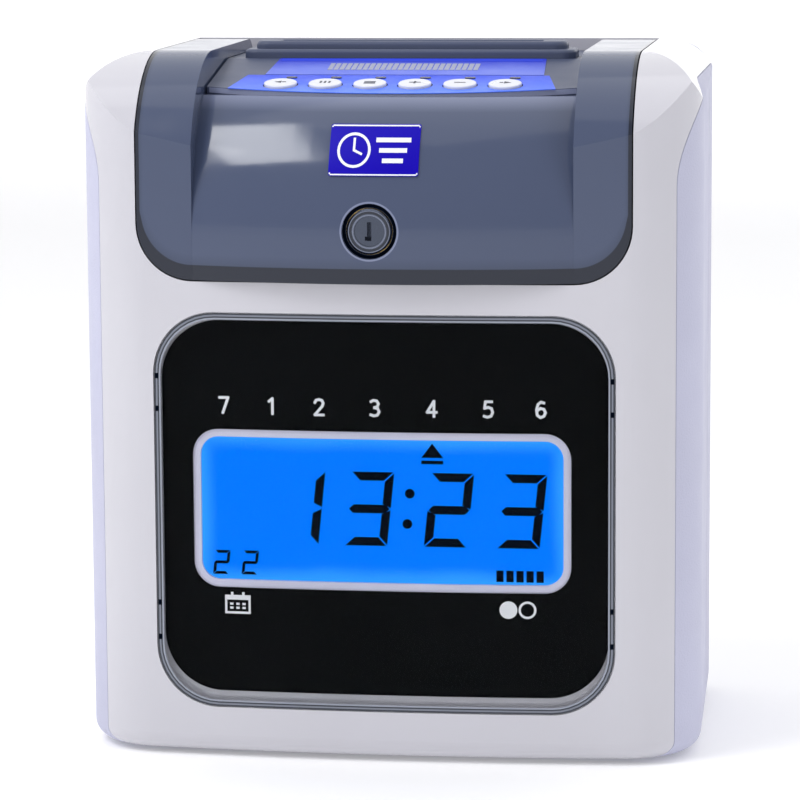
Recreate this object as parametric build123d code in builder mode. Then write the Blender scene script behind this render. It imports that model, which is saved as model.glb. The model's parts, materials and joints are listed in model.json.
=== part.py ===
"""Punch time clock: a cased card recorder with a hinged hood, a key deck and a card slot.

Millimetres. +Z is up, the window faces -Y, +X is to the right of somebody facing the window.
The origin is on the table, under the centre of the machine's box.
"""

import math
import os

from build123d import *

os.makedirs("parts", exist_ok=True)

# ---------------------------------------------------------------- driving dimensions
HALF_WIDTH = 109.4          # where the bowed front and the sides would meet, from the middle
FRONT_Y = -66.0             # case front on the centre line
REAR_Y = 72.0               # back of the case
BODY_BOTTOM = 1.5           # underside of the case, on its feet
ARM_TOP = 245.5             # flat top of the case
WALL = 2.5                  # moulding wall
SEAM = 0.3                  # gap between neighbouring mouldings
HOOD_GAP = 0.5              # gap round the hinged hood

# plan of the case
FRONT_BOW = 6.8             # how far the bow falls back at its ends
FRONT_RADIUS = 28.0         # front corners
REAR_HALF = 105.5           # half width of the back, the sides taper towards it
REAR_RADIUS = 12.0

# side profile of the case
SHOULDER_RADIUS = 45.0      # front turns into top
REAR_TOP_RADIUS = 8.0
EDGE_RADIUS = 6.5           # bottom edges
ARM_EDGE_RADIUS = 22.0      # outer top edges of the arms

# hood
HOOD_HALF = 86.2            # half width of the opening for the hood
HOOD_BOTTOM = 168.2
HOOD_CORNER = 20.0
HOOD_REAR_Y = 61.5          # rear end of the opening
SHOULDER_INNER = 66.0       # inner wall of each hood shoulder
CROWN_RADIUS = 260.0        # plan radius of the hood's bulging centre
CROWN_FRONT_Y = -72.0
CROWN_ARC_Z = 185.0         # the bulge starts to lean back here
CROWN_ARC_RADIUS = 58.0
CROWN_TOP = 231.0
CROWN_AXIS_Y = CROWN_FRONT_Y + CROWN_RADIUS
HINGE_Y = 52.0
HINGE_Z = 236.5
HINGE_PIN_R = 2.0
HINGE_BOSS_R = 9.0          # the hood's rear end is round about its hinge

# window
WINDOW_HALF = 80.6
WINDOW_BOTTOM = 18.1
WINDOW_TOP = 157.7
WINDOW_CORNER = 22.0
LENS_THICK = 3.0
MASK_THICK = 0.4
MASK_HALF = 78.0
MASK_BOTTOM = 23.5
MASK_TOP = 154.5
MASK_CORNER = 20.5
LCD_X = -1.1                # the display sits a little left of the middle
LCD_HALF = 67.0             # bezel ring, outside
LCD_BOTTOM = 59.6
LCD_TOP = 117.2
LCD_RING = 3.5              # bezel ring width
LCD_CORNER = 10.0

# lock
LOCK_X = -3.0
LOCK_Z = 186.8
LOCK_FACE_Y = CROWN_FRONT_Y + 0.6
LOCK_R = 7.8
PLUG_R = 5.0
CAM_LENGTH = 21.0

# control deck: a sloping plane that starts just behind the hood's lip
DECK_FRONT_Y = -47.0
DECK_FRONT_Z = 231.5
DECK_FLAT_Y = 6.0
DECK_FLAT_Z = 241.0
DECK_HALF = 65.4
DECK_THICK = 2.5
DECK_REAR_Y = 61.0
DECK_RISE = (DECK_FLAT_Z - DECK_FRONT_Z) / (DECK_FLAT_Y - DECK_FRONT_Y)
DECK_ANGLE = math.degrees(math.atan(DECK_RISE))
DECK = Plane(
    origin=(0, DECK_FRONT_Y, DECK_FRONT_Z),
    x_dir=(1, 0, 0),
    z_dir=(0, -math.sin(math.radians(DECK_ANGLE)), math.cos(math.radians(DECK_ANGLE))),
)
KEY_PITCH = 15.8
KEY_COUNT = 6
KEY_R = 5.8
KEY_UP_SLOPE = 13.5
KEY_TRAVEL = 0.8
KEY_BOARD_DROP = 9.0        # key board below the deck, square to it

# card slot and chute
CARD_Y = 17.0
RIM_TOP = 247.0
SLOT_LENGTH = 92.0
SLOT_WIDTH = 5.0
CHUTE_HALF = 46.5
CHUTE_BOTTOM = 66.0
CHUTE_TOP = 235.5
SHEET = 1.5

# mechanism frame
FRAME_HALF = 56.0
FRAME_BACK_Y = 45.0
FRAME_FRONT_Y = -28.0
FRAME_BOTTOM = 56.0
FRAME_TOP = 226.0

# card feed
FEED_Y = 27.4
FEED_Z = 120.0
FEED_ROLLER_R = 10.0
PINCH_Y = 10.8
PINCH_ROLLER_R = 6.0
GEAR_MODULE = 1.0
GEAR_TEETH = 30
PINION_TEETH = 12
PINION_Y = 32.4
PINION_Z = FEED_Z - math.sqrt(
    (GEAR_MODULE * (GEAR_TEETH + PINION_TEETH) / 2) ** 2 - (PINION_Y - FEED_Y) ** 2
)

# printing
GUIDE_Y = -6.0
GUIDE_Z = 184.0
GUIDE_R = 3.0
RAIL_Y = -21.0
RAIL_R = 2.0
PULLEY_X = 42.0
PULLEY_Y = -6.0
PULLEY_R = 6.0
PRINT_Z = 197.0             # centre of the printed line
PIVOT_Y = -16.0             # ribbon cartridge trunnions
PIVOT_Z = 217.0

RUNNING = 0.05              # radial clearance of shafts in their bores


def finish(builder, label):
    """Name a finished piece and write it."""
    builder.part.label = label
    export_step(builder.part, f"parts/{label}.step")


def facing_y(y):
    """An upright plane at y, seen from the front: local x is X, local y is Z."""
    return Plane(origin=(0, y, 0), x_dir=(1, 0, 0), z_dir=(0, -1, 0))


def facing_x(x):
    """An upright plane at x: local x is Y, local y is Z."""
    return Plane(origin=(x, 0, 0), x_dir=(0, 1, 0), z_dir=(1, 0, 0))


# ---------------------------------------------------------------- case form
def plan_outline(inset=0.0):
    """The case from above: bowed front, tapering sides, round corners."""
    bow_end_y = FRONT_Y + FRONT_BOW
    with BuildSketch(Plane.XY) as outline:
        with BuildLine():
            ThreePointArc((-HALF_WIDTH, bow_end_y), (0, FRONT_Y), (HALF_WIDTH, bow_end_y))
            Polyline(
                (HALF_WIDTH, bow_end_y),
                (REAR_HALF, REAR_Y),
                (-REAR_HALF, REAR_Y),
                (-HALF_WIDTH, bow_end_y),
            )
        make_face()
        fillet(outline.vertices().group_by(Axis.Y)[0], FRONT_RADIUS)
        fillet(outline.vertices().group_by(Axis.Y)[-1], REAR_RADIUS)
        if inset > 0:
            offset(amount=-inset, mode=Mode.REPLACE)
    return outline.sketch_local


def side_outline(inset=0.0):
    """The case from the side: upright front, quarter-round shoulder, flat top."""
    shoulder_z = ARM_TOP - SHOULDER_RADIUS
    with BuildSketch(Plane.XY) as outline:
        with BuildLine():
            front = Line((FRONT_Y, BODY_BOTTOM), (FRONT_Y, shoulder_z))
            shoulder = TangentArc(front @ 1, (FRONT_Y + SHOULDER_RADIUS, ARM_TOP), tangent=(0, 1))
            top = Line(shoulder @ 1, (REAR_Y - REAR_TOP_RADIUS, ARM_TOP))
            back = TangentArc(top @ 1, (REAR_Y, ARM_TOP - REAR_TOP_RADIUS), tangent=(1, 0))
            Polyline(back @ 1, (REAR_Y, BODY_BOTTOM), (FRONT_Y, BODY_BOTTOM))
        make_face()
        if inset > 0:
            offset(amount=-inset, mode=Mode.REPLACE)
    return outline.sketch_local


def case_form(inset, bottom_radius):
    """The case's outer form as a solid, drawn in by inset on every side."""
    top_radius = max(ARM_EDGE_RADIUS - inset, 1.0)
    with BuildPart() as form:
        with BuildSketch(Plane.XY.offset(BODY_BOTTOM + inset)):
            add(plan_outline(inset))
        extrude(amount=ARM_TOP - BODY_BOTTOM - 2 * inset)
        with BuildSketch(Plane.YZ):
            add(side_outline(inset))
        extrude(amount=HALF_WIDTH + 1, both=True, mode=Mode.INTERSECT)
        fillet(form.faces().sort_by(Axis.Z)[0].edges(), bottom_radius)
        # outer top edges, rounded along the whole depth
        with BuildSketch(facing_y(REAR_Y + 1)):
            with Locations((0, (ARM_TOP - inset) / 2 - top_radius)):
                RectangleRounded(2 * (HALF_WIDTH - inset), ARM_TOP - inset + 2 * top_radius, top_radius)
        extrude(amount=REAR_Y - FRONT_Y + 2, mode=Mode.INTERSECT)
    return form.part


outer_form = case_form(0.0, EDGE_RADIUS)
inner_form = case_form(WALL, EDGE_RADIUS - WALL)
ledge_form = case_form(WALL + 9.0, 1.0)
flange_form = case_form(26.0, 1.0)


def rear_case_region(gap):
    """The part of the side view that belongs to the rear case."""
    seam_y = FRONT_Y + 12.0 + gap
    seam_z = ARM_TOP - 9.0 - gap
    back_y = REAR_Y - 5.0 + gap
    bend = SHOULDER_RADIUS - 10.0
    with BuildSketch(Plane.XY) as region:
        with BuildLine():
            front = Line((seam_y, -1), (seam_y, seam_z - bend))
            arc = TangentArc(front @ 1, (seam_y + bend, seam_z), tangent=(0, 1))
            Polyline(
                arc @ 1,
                (back_y, seam_z),
                (back_y, ARM_TOP + 1),
                (REAR_Y + 1, ARM_TOP + 1),
                (REAR_Y + 1, -1),
                (seam_y, -1),
            )
        make_face()
    return region.sketch_local


def hood_opening(grow):
    """Front view of the hood's opening, open at the top."""
    half = HOOD_HALF + grow
    bottom = HOOD_BOTTOM - grow
    radius = HOOD_CORNER + grow
    with BuildSketch(Plane.XY) as opening:
        with BuildLine():
            left = Line((-half, ARM_TOP + 10), (-half, bottom + radius))
            left_corner = TangentArc(left @ 1, (-half + radius, bottom), tangent=(0, -1))
            sill = Line(left_corner @ 1, (half - radius, bottom))
            right_corner = TangentArc(sill @ 1, (half, bottom + radius), tangent=(1, 0))
            Polyline(right_corner @ 1, (half, ARM_TOP + 10), (-half, ARM_TOP + 10))
        make_face()
    return opening.sketch_local


def window_outline(half, bottom, top, radius, middle=0.0):
    """A rounded window shape, in the front view."""
    with BuildSketch(Plane.XY) as outline:
        with Locations((middle, (bottom + top) / 2)):
            RectangleRounded(2 * half, top - bottom, radius)
    return outline.sketch_local


def crown_form(inset):
    """The hood's bulging centre: a solid of revolution about an upright axis behind it."""
    front = CROWN_FRONT_Y + inset
    radius = CROWN_ARC_RADIUS - inset
    rise = CROWN_TOP - CROWN_ARC_Z
    lip_y = front + radius - math.sqrt(radius**2 - rise**2)
    bottom = HOOD_BOTTOM - 10
    inner_y = FRONT_Y + 110
    with BuildPart() as crown:
        with BuildSketch(Plane.YZ):
            with BuildLine():
                face_line = Line((front, bottom), (front, CROWN_ARC_Z))
                arc = TangentArc(face_line @ 1, (lip_y, CROWN_TOP), tangent=(0, 1))
                Polyline(arc @ 1, (inner_y, CROWN_TOP), (inner_y, bottom), (front, bottom))
            make_face()
        revolve(axis=Axis((0, CROWN_AXIS_Y, 0), (0, 0, 1)))
        with BuildSketch(Plane.XY):
            with Locations((0, FRONT_Y)):
                Rectangle(2 * (SHOULDER_INNER + 2 * WALL), 160)
        extrude(amount=300, mode=Mode.INTERSECT)
    return crown.part


crown_outer = crown_form(0.0)
crown_inner = crown_form(WALL)

# ---------------------------------------------------------------- front cover
LEDGE_INSET = LENS_THICK + MASK_THICK + 0.6
COLUMN_X = 92.0             # long screw columns between the two halves of the case
COLUMN_Z = (18.0, 150.0)
COLUMN_R = 3.5
COLUMN_END_Y = REAR_Y - WALL
SCREW_R = 1.5

with BuildPart() as hood_ledge:
    with BuildSketch(facing_y(HOOD_REAR_Y + WALL)):
        add(hood_opening(WALL))
    extrude(amount=HOOD_REAR_Y + WALL - FRONT_Y + 10)
    with BuildSketch(facing_y(HOOD_REAR_Y)):
        add(hood_opening(0.0))
    extrude(amount=HOOD_REAR_Y - FRONT_Y + 11, mode=Mode.SUBTRACT)
    add(outer_form, mode=Mode.INTERSECT)
    add(ledge_form, mode=Mode.SUBTRACT)
    # behind the hood only a strip along the top is closed
    with BuildSketch(facing_y(REAR_Y)):
        with Locations((0, ARM_TOP - WALL - 109)):
            Rectangle(2 * (HOOD_HALF + WALL), 200)
    extrude(amount=REAR_Y - HOOD_REAR_Y, mode=Mode.SUBTRACT)

with BuildPart() as lens_seat:
    with BuildSketch(Plane.XY.offset(WINDOW_BOTTOM - 5)):
        Rectangle(2 * HALF_WIDTH, 400)
        add(plan_outline(LEDGE_INSET), mode=Mode.SUBTRACT)
    extrude(amount=WINDOW_TOP - WINDOW_BOTTOM + 10)
    with BuildSketch(facing_y(FRONT_Y + 20)):
        add(window_outline(WINDOW_HALF, WINDOW_BOTTOM, WINDOW_TOP, WINDOW_CORNER))
    extrude(amount=30, mode=Mode.INTERSECT)

with BuildPart() as lens_ledge:
    with BuildSketch(Plane.XY.offset(WINDOW_BOTTOM - 5)):
        add(plan_outline(WALL - 0.1))
        add(plan_outline(LEDGE_INSET + SHEET), mode=Mode.SUBTRACT)
    extrude(amount=WINDOW_TOP - WINDOW_BOTTOM + 10)
    with BuildSketch(facing_y(FRONT_Y + 20)):
        add(window_outline(WINDOW_HALF + 4, WINDOW_BOTTOM - 4, WINDOW_TOP + 4, WINDOW_CORNER + 4))
        add(
            window_outline(MASK_HALF - 3, MASK_BOTTOM + 3, MASK_TOP - 3, MASK_CORNER - 3),
            mode=Mode.SUBTRACT,
        )
    extrude(amount=30, mode=Mode.INTERSECT)

with BuildPart() as front_cover:
    add(outer_form)
    add(inner_form, mode=Mode.SUBTRACT)
    with BuildSketch(facing_y(HOOD_REAR_Y)):
        add(hood_opening(0.0))
    extrude(amount=HOOD_REAR_Y - FRONT_Y + 10, mode=Mode.SUBTRACT)
    with BuildSketch(Plane.YZ):
        add(rear_case_region(0.0))
    extrude(amount=HALF_WIDTH + 1, both=True, mode=Mode.SUBTRACT)
    add(hood_ledge.part)
    add(lens_ledge.part)
    add(lens_seat.part, mode=Mode.SUBTRACT)
    # columns for the long case screws
    with BuildSketch(facing_y(COLUMN_END_Y)):
        with Locations(*[(x, z) for x in (-COLUMN_X, COLUMN_X) for z in COLUMN_Z]):
            Circle(COLUMN_R)
    extrude(amount=COLUMN_END_Y - FRONT_Y - 10.5)
    with BuildSketch(facing_y(COLUMN_END_Y)):
        with Locations(*[(x, z) for x in (-COLUMN_X, COLUMN_X) for z in COLUMN_Z]):
            Circle(SCREW_R)
    extrude(amount=20, mode=Mode.SUBTRACT)
    # bosses that hold the hood's hinge pins inside the arms
    for side in (-1, 1):
        with BuildSketch(facing_x(side * (HOOD_HALF + WALL))):
            with Locations((HINGE_Y, HINGE_Z)):
                Circle(6)
            with Locations((HINGE_Y, HINGE_Z + 4)):
                Rectangle(8, 6)
        extrude(amount=side * 6)
        with BuildSketch(facing_x(side * HOOD_HALF)):
            with Locations((HINGE_Y, HINGE_Z)):
                Circle(HINGE_PIN_R)
        extrude(amount=side * 6.5, mode=Mode.SUBTRACT)
finish(front_cover, "front_cover")

# ---------------------------------------------------------------- rear case
KEYHOLE_X = 60.0
KEYHOLE_Z = 205.0
KEYHOLE_R = 4.5
KEYHOLE_SLOT = 4.6
POST_X = 44.0               # posts that carry the mechanism frame
POST_Z = (66.0, 216.0)
POST_R = 4.0
INLET_X = -70.0
INLET_Z = 24.0
INLET_R = 4.0
GROOVE_Y = 22.0
POWER_Z = 9.0               # power board, on pillars off the floor

with BuildPart() as side_groove:
    with BuildSketch(Plane.XY.offset(10)):
        with Locations((0, GROOVE_Y)):
            Rectangle(2 * HALF_WIDTH + 4, 1.2)
        add(plan_outline(0.7), mode=Mode.SUBTRACT)
    extrude(amount=220)

with BuildPart() as rear_case:
    add(outer_form)
    add(inner_form, mode=Mode.SUBTRACT)
    with BuildSketch(Plane.YZ):
        add(rear_case_region(SEAM))
    extrude(amount=HALF_WIDTH + 1, both=True, mode=Mode.INTERSECT)
    add(side_groove.part, mode=Mode.SUBTRACT)
    # posts for the mechanism frame
    with BuildSketch(facing_y(REAR_Y - WALL)):
        with Locations(*[(x, z) for x in (-POST_X, POST_X) for z in POST_Z]):
            Circle(POST_R)
    extrude(amount=REAR_Y - WALL - FRAME_BACK_Y - SHEET)
    with BuildSketch(facing_y(REAR_Y - WALL - 8)):
        with Locations(*[(x, z) for x in (-POST_X, POST_X) for z in POST_Z]):
            Circle(SCREW_R)
    extrude(amount=40, mode=Mode.SUBTRACT)
    # pillars under the power board
    with BuildSketch(Plane.XY.offset(BODY_BOTTOM + WALL / 2)):
        with Locations(*[(x, y) for x in (-80, -24) for y in (2, 54)]):
            Circle(3)
    extrude(amount=POWER_Z - BODY_BOTTOM - WALL / 2)
    # keyholes, case screw holes, inlet and vents in the back
    with BuildSketch(facing_y(REAR_Y + 1)):
        with Locations(*[(x, KEYHOLE_Z) for x in (-KEYHOLE_X, KEYHOLE_X)]):
            Circle(KEYHOLE_R)
        with Locations(*[(x, KEYHOLE_Z + KEYHOLE_R + 2) for x in (-KEYHOLE_X, KEYHOLE_X)]):
            SlotOverall(13, KEYHOLE_SLOT, rotation=90)
        with Locations(*[(x, z) for x in (-COLUMN_X, COLUMN_X) for z in COLUMN_Z]):
            Circle(SCREW_R + 0.2)
        with Locations((INLET_X, INLET_Z)):
            Circle(INLET_R)
        with Locations((0, 130)):
            with GridLocations(9, 36, 9, 2):
                SlotOverall(30, 3, rotation=90)
    extrude(amount=WALL + 3, mode=Mode.SUBTRACT)
finish(rear_case, "rear_case")

with BuildPart() as case_screws:
    with BuildSketch(facing_y(REAR_Y + 0.0)):
        with Locations(*[(x, z) for x in (-COLUMN_X, COLUMN_X) for z in COLUMN_Z]):
            Circle(SCREW_R)
    extrude(amount=18)
finish(case_screws, "case_screws")

FOOT_X = 84.0
FOOT_Y = (-38.0, 54.0)
FOOT_R = 7.0

with BuildPart() as rubber_feet:
    with BuildSketch(Plane.XY):
        with Locations(*[(x, y) for x in (-FOOT_X, FOOT_X) for y in FOOT_Y]):
            Circle(FOOT_R)
    extrude(amount=BODY_BOTTOM)
    chamfer(rubber_feet.faces().group_by(Axis.Z)[0].edges(), 0.5)
finish(rubber_feet, "rubber_feet")

# ---------------------------------------------------------------- window and display
def bowed_sheet(near, far, outlines):
    """A sheet that follows the bowed front between two insets, cut to front-view outlines.

    The first outline is the sheet's edge, the others are openings in it.
    """
    with BuildPart() as sheet:
        with BuildSketch(Plane.XY):
            add(plan_outline(near))
            add(plan_outline(far), mode=Mode.SUBTRACT)
        extrude(amount=ARM_TOP)
        with BuildSketch(facing_y(FRONT_Y + 15)):
            add(outlines[0])
            for opening in outlines[1:]:
                add(opening, mode=Mode.SUBTRACT)
        extrude(amount=20, mode=Mode.INTERSECT)
    return sheet


lens = bowed_sheet(
    0.2,
    LENS_THICK + 0.2,
    [
        window_outline(
            WINDOW_HALF - SEAM, WINDOW_BOTTOM + SEAM, WINDOW_TOP - SEAM, WINDOW_CORNER - SEAM
        )
    ],
)
finish(lens, "window_lens")

mask = bowed_sheet(
    LENS_THICK + 0.3,
    LENS_THICK + 0.3 + MASK_THICK,
    [
        window_outline(MASK_HALF, MASK_BOTTOM, MASK_TOP, MASK_CORNER),
        window_outline(LCD_HALF - 0.8, LCD_BOTTOM + 0.8, LCD_TOP - 0.8, LCD_CORNER - 0.8, LCD_X),
    ],
)
finish(mask, "window_mask")

BEZEL_INSET = LENS_THICK + MASK_THICK + 0.5
bezel = bowed_sheet(
    BEZEL_INSET,
    BEZEL_INSET + 1.4,
    [
        window_outline(LCD_HALF, LCD_BOTTOM, LCD_TOP, LCD_CORNER, LCD_X),
        window_outline(
            LCD_HALF - LCD_RING,
            LCD_BOTTOM + LCD_RING,
            LCD_TOP - LCD_RING,
            LCD_CORNER - LCD_RING,
            LCD_X,
        ),
    ],
)
finish(bezel, "lcd_bezel")

LCD_GLASS_Y = FRONT_Y + 8.0
LCD_GLASS_HALF = 64.7
LCD_GLASS_Z = (LCD_BOTTOM + LCD_TOP) / 2
LCD_GLASS_HIGH = 52.8

with BuildPart() as lcd_glass:
    with BuildSketch(facing_y(LCD_GLASS_Y)):
        with Locations((LCD_X, LCD_GLASS_Z)):
            Rectangle(2 * LCD_GLASS_HALF, LCD_GLASS_HIGH)
    extrude(amount=-2.8)
finish(lcd_glass, "lcd_glass")

with BuildPart() as backlight:
    with BuildSketch(facing_y(LCD_GLASS_Y + 3.0)):
        with Locations((LCD_X, LCD_GLASS_Z)):
            Rectangle(2 * LCD_GLASS_HALF + 3, LCD_GLASS_HIGH + 3)
    extrude(amount=-5)
finish(backlight, "backlight_panel")

BOARD_Y = FRONT_Y + 19.0
BOARD_THICK = 1.6

with BuildPart() as main_board:
    with BuildSketch(facing_y(BOARD_Y)):
        with Locations((0, 90)):
            Rectangle(144, 120)
            with GridLocations(134, 110, 2, 2):
                Circle(SCREW_R, mode=Mode.SUBTRACT)
    extrude(amount=-BOARD_THICK)
finish(main_board, "main_board")

BOARD_BACK_Y = BOARD_Y + BOARD_THICK

with BuildPart() as board_parts:
    # processor and memory packages
    with BuildSketch(facing_y(BOARD_BACK_Y)):
        with Locations((0, 96)):
            Rectangle(14, 14)
        with Locations((-28, 104), (-28, 86)):
            Rectangle(12, 8)
    extrude(amount=-1.6)
    # supply capacitors
    with BuildSketch(facing_y(BOARD_BACK_Y)):
        with Locations((44, 50), (56, 50), (44, 64)):
            Circle(4)
    extrude(amount=-9)
    # cable headers
    with BuildSketch(facing_y(BOARD_BACK_Y)):
        with Locations((-52, 44), (-20, 44), (20, 136)):
            Rectangle(22, 6)
    extrude(amount=-7)
finish(board_parts, "board_parts")

with BuildPart() as buzzer:
    with BuildSketch(facing_y(BOARD_BACK_Y)):
        with Locations((54, 134)):
            Circle(6)
            Circle(1, mode=Mode.SUBTRACT)
    extrude(amount=-7)
finish(buzzer, "buzzer")

# ---------------------------------------------------------------- hood
SKIN = WALL
LOCK_HOLE_R = LOCK_R + 0.3

with BuildPart() as hood_rim:
    # narrow return flange round the hood's sides and sill
    with BuildSketch(facing_y(HOOD_REAR_Y - HOOD_GAP)):
        add(hood_opening(-HOOD_GAP))
        add(hood_opening(-HOOD_GAP - SKIN), mode=Mode.SUBTRACT)
    extrude(amount=HOOD_REAR_Y - FRONT_Y + 12)
    add(outer_form, mode=Mode.INTERSECT)
    add(ledge_form, mode=Mode.SUBTRACT)

with BuildPart() as crown_wall:
    add(crown_outer)
    add(crown_inner, mode=Mode.SUBTRACT)
    with BuildSketch(facing_y(FRONT_Y + 40)):
        with Locations((0, HOOD_BOTTOM + HOOD_GAP + 50)):
            Rectangle(2 * SHOULDER_INNER + 0.2, 100)
    extrude(amount=60, mode=Mode.INTERSECT)

with BuildPart() as crown_sill:
    # return flange under the bulging centre
    add(crown_outer)
    with BuildSketch(facing_y(FRONT_Y + 9)):
        with Locations((0, HOOD_BOTTOM + HOOD_GAP + SKIN / 2)):
            Rectangle(2 * SHOULDER_INNER, SKIN)
    extrude(amount=60, mode=Mode.INTERSECT)

with BuildPart() as shoulder_walls:
    # upright inner walls of the two shoulders
    add(outer_form)
    add(flange_form, mode=Mode.SUBTRACT)
    with BuildSketch(Plane.XY.offset(HOOD_BOTTOM + HOOD_GAP)):
        with Locations((-SHOULDER_INNER - SKIN / 2, 0), (SHOULDER_INNER + SKIN / 2, 0)):
            Rectangle(SKIN, 2 * (HOOD_REAR_Y - HOOD_GAP))
    extrude(amount=100, mode=Mode.INTERSECT)

with BuildPart() as hood:
    add(outer_form)
    add(inner_form, mode=Mode.SUBTRACT)
    with BuildSketch(facing_y(HOOD_REAR_Y - HOOD_GAP)):
        add(hood_opening(-HOOD_GAP))
    extrude(amount=HOOD_REAR_Y - FRONT_Y + 12, mode=Mode.INTERSECT)
    with BuildSketch(facing_y(REAR_Y)):
        with Locations((0, HOOD_BOTTOM + 60)):
            Rectangle(2 * SHOULDER_INNER, 140)
    extrude(amount=160, mode=Mode.SUBTRACT)
    add(hood_rim.part)
    add(crown_wall.part)
    add(crown_sill.part)
    add(shoulder_walls.part)
    # hinge ears inside the shoulders
    for side in (-1, 1):
        with BuildSketch(facing_x(side * (HOOD_HALF - HOOD_GAP))):
            with Locations((HINGE_Y, HINGE_Z)):
                Circle(HINGE_BOSS_R - 1)
        extrude(amount=-side * 8)
    # the rear end is round about the hinge
    with BuildSketch(Plane.YZ):
        with Locations((HINGE_Y + 10, HINGE_Z - 60)):
            Rectangle(20, 160)
        with Locations((HINGE_Y - 13, HOOD_BOTTOM + 10)):
            Rectangle(30, 80)
        with Locations((HINGE_Y, HINGE_Z)):
            Circle(HINGE_BOSS_R, mode=Mode.SUBTRACT)
    extrude(amount=HALF_WIDTH, both=True, mode=Mode.SUBTRACT)
    with BuildSketch(Plane.YZ):
        with Locations((HINGE_Y, HINGE_Z)):
            Circle(HINGE_PIN_R + RUNNING)
    extrude(amount=HALF_WIDTH, both=True, mode=Mode.SUBTRACT)
    # recess and hole for the lock
    with BuildSketch(facing_y(CROWN_FRONT_Y + 1.6)):
        with Locations((LOCK_X, LOCK_Z)):
            Circle(LOCK_R + 1.7)
    extrude(amount=5, mode=Mode.SUBTRACT)
    with BuildSketch(facing_y(CROWN_FRONT_Y + 6)):
        with Locations((LOCK_X, LOCK_Z)):
            Circle(LOCK_HOLE_R)
    extrude(amount=10, mode=Mode.SUBTRACT)
finish(hood, "hood")

with BuildPart() as hinge_pins:
    for side in (-1, 1):
        with BuildSketch(facing_x(side * (HOOD_HALF - 8))):
            with Locations((HINGE_Y, HINGE_Z)):
                Circle(HINGE_PIN_R)
        extrude(amount=side * 14)
finish(hinge_pins, "hinge_pins")

BADGE_X = -2.0
BADGE_Z = 214.0
BADGE_WIDE = 31.0
BADGE_HIGH = 17.0

with BuildPart() as badge:
    add(crown_form(-0.5))
    add(crown_outer, mode=Mode.SUBTRACT)
    with BuildSketch(facing_y(FRONT_Y + 20)):
        with Locations((BADGE_X, BADGE_Z)):
            RectangleRounded(BADGE_WIDE, BADGE_HIGH, 0.8)
    extrude(amount=40, mode=Mode.INTERSECT)
finish(badge, "badge_plate")

# ---------------------------------------------------------------- lock
BARREL_END_Y = -52.6
CAM_Y = -52.2
CAM_THICK = 1.6

with BuildPart() as lock_barrel:
    with BuildSketch(facing_y(BARREL_END_Y)):
        with Locations((LOCK_X, LOCK_Z)):
            Circle(LOCK_R)
            Circle(PLUG_R + RUNNING, mode=Mode.SUBTRACT)
    extrude(amount=BARREL_END_Y - LOCK_FACE_Y)
    chamfer(lock_barrel.faces().sort_by(Axis.Y)[0].edges().sort_by(SortBy.LENGTH)[-1], 0.5)
finish(lock_barrel, "lock_barrel")

with BuildPart() as lock_plug:
    with BuildSketch(facing_y(BARREL_END_Y)):
        with Locations((LOCK_X, LOCK_Z)):
            Circle(PLUG_R)
    extrude(amount=BARREL_END_Y - LOCK_FACE_Y - 0.3)
    with BuildSketch(facing_y(CAM_Y + CAM_THICK + 0.6)):
        with Locations((LOCK_X, LOCK_Z)):
            Rectangle(5, 5)
    extrude(amount=CAM_Y + CAM_THICK + 0.6 - BARREL_END_Y)
    # key slot
    with BuildSketch(facing_y(LOCK_FACE_Y + 8)):
        with Locations((LOCK_X, LOCK_Z)):
            Rectangle(1.5, 6.4)
        with Locations((LOCK_X - 0.7, LOCK_Z - 2.4)):
            Rectangle(1.6, 1.4)
    extrude(amount=10, mode=Mode.SUBTRACT)
finish(lock_plug, "lock_plug")

with BuildPart() as lock_cam:
    with BuildSketch(facing_y(CAM_Y + CAM_THICK)):
        with Locations((LOCK_X, LOCK_Z)):
            Circle(6)
        with Locations((LOCK_X + CAM_LENGTH / 2 + 1, LOCK_Z)):
            RectangleRounded(CAM_LENGTH + 2, 9, 2)
        with Locations((LOCK_X, LOCK_Z)):
            Rectangle(5, 5, mode=Mode.SUBTRACT)
    extrude(amount=CAM_THICK)
finish(lock_cam, "lock_cam")

with BuildPart() as lock_nut:
    with BuildSketch(facing_y(CROWN_FRONT_Y + WALL + 5.4)):
        with Locations((LOCK_X, LOCK_Z)):
            RegularPolygon(12, 6)
            Circle(LOCK_R + RUNNING, mode=Mode.SUBTRACT)
    extrude(amount=3.8)
finish(lock_nut, "lock_nut")

KEEPER_Y = -54.2

with BuildPart() as lock_keeper:
    with BuildSketch(facing_x(LOCK_X - 12)):
        with BuildLine():
            Polyline(
                (FRONT_Y + 5, HOOD_BOTTOM - WALL),
                (KEEPER_Y, HOOD_BOTTOM - WALL),
                (KEEPER_Y, HOOD_BOTTOM - 0.2),
                (KEEPER_Y + SHEET, HOOD_BOTTOM - 0.2),
                (KEEPER_Y + SHEET, HOOD_BOTTOM - WALL - SHEET),
                (FRONT_Y + 5, HOOD_BOTTOM - WALL - SHEET),
                close=True,
            )
        make_face()
    extrude(amount=24)
finish(lock_keeper, "lock_keeper")

# ---------------------------------------------------------------- control deck
DECK_LIP_R = CROWN_AXIS_Y - (DECK_FRONT_Y + 2.3)     # bowed front edge, plan radius
RIM_Y = CARD_Y
RIM_HALF = 60.0
RIM_DEPTH = 20.0
THROAT_HALF = SLOT_LENGTH / 2 + 1.6
THROAT_DEPTH = SLOT_WIDTH + 3.2
KEY_X = [KEY_PITCH * (index - (KEY_COUNT - 1) / 2) for index in range(KEY_COUNT)]
KEY_PLACES = [(x, KEY_UP_SLOPE) for x in KEY_X]
KEY_HOLE_R = KEY_R + 0.4
DECK_POST_X = 49.5


def on_deck(rise):
    """A plane square above the sloping deck by rise: local y runs up the slope."""
    return DECK.offset(rise)


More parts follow.
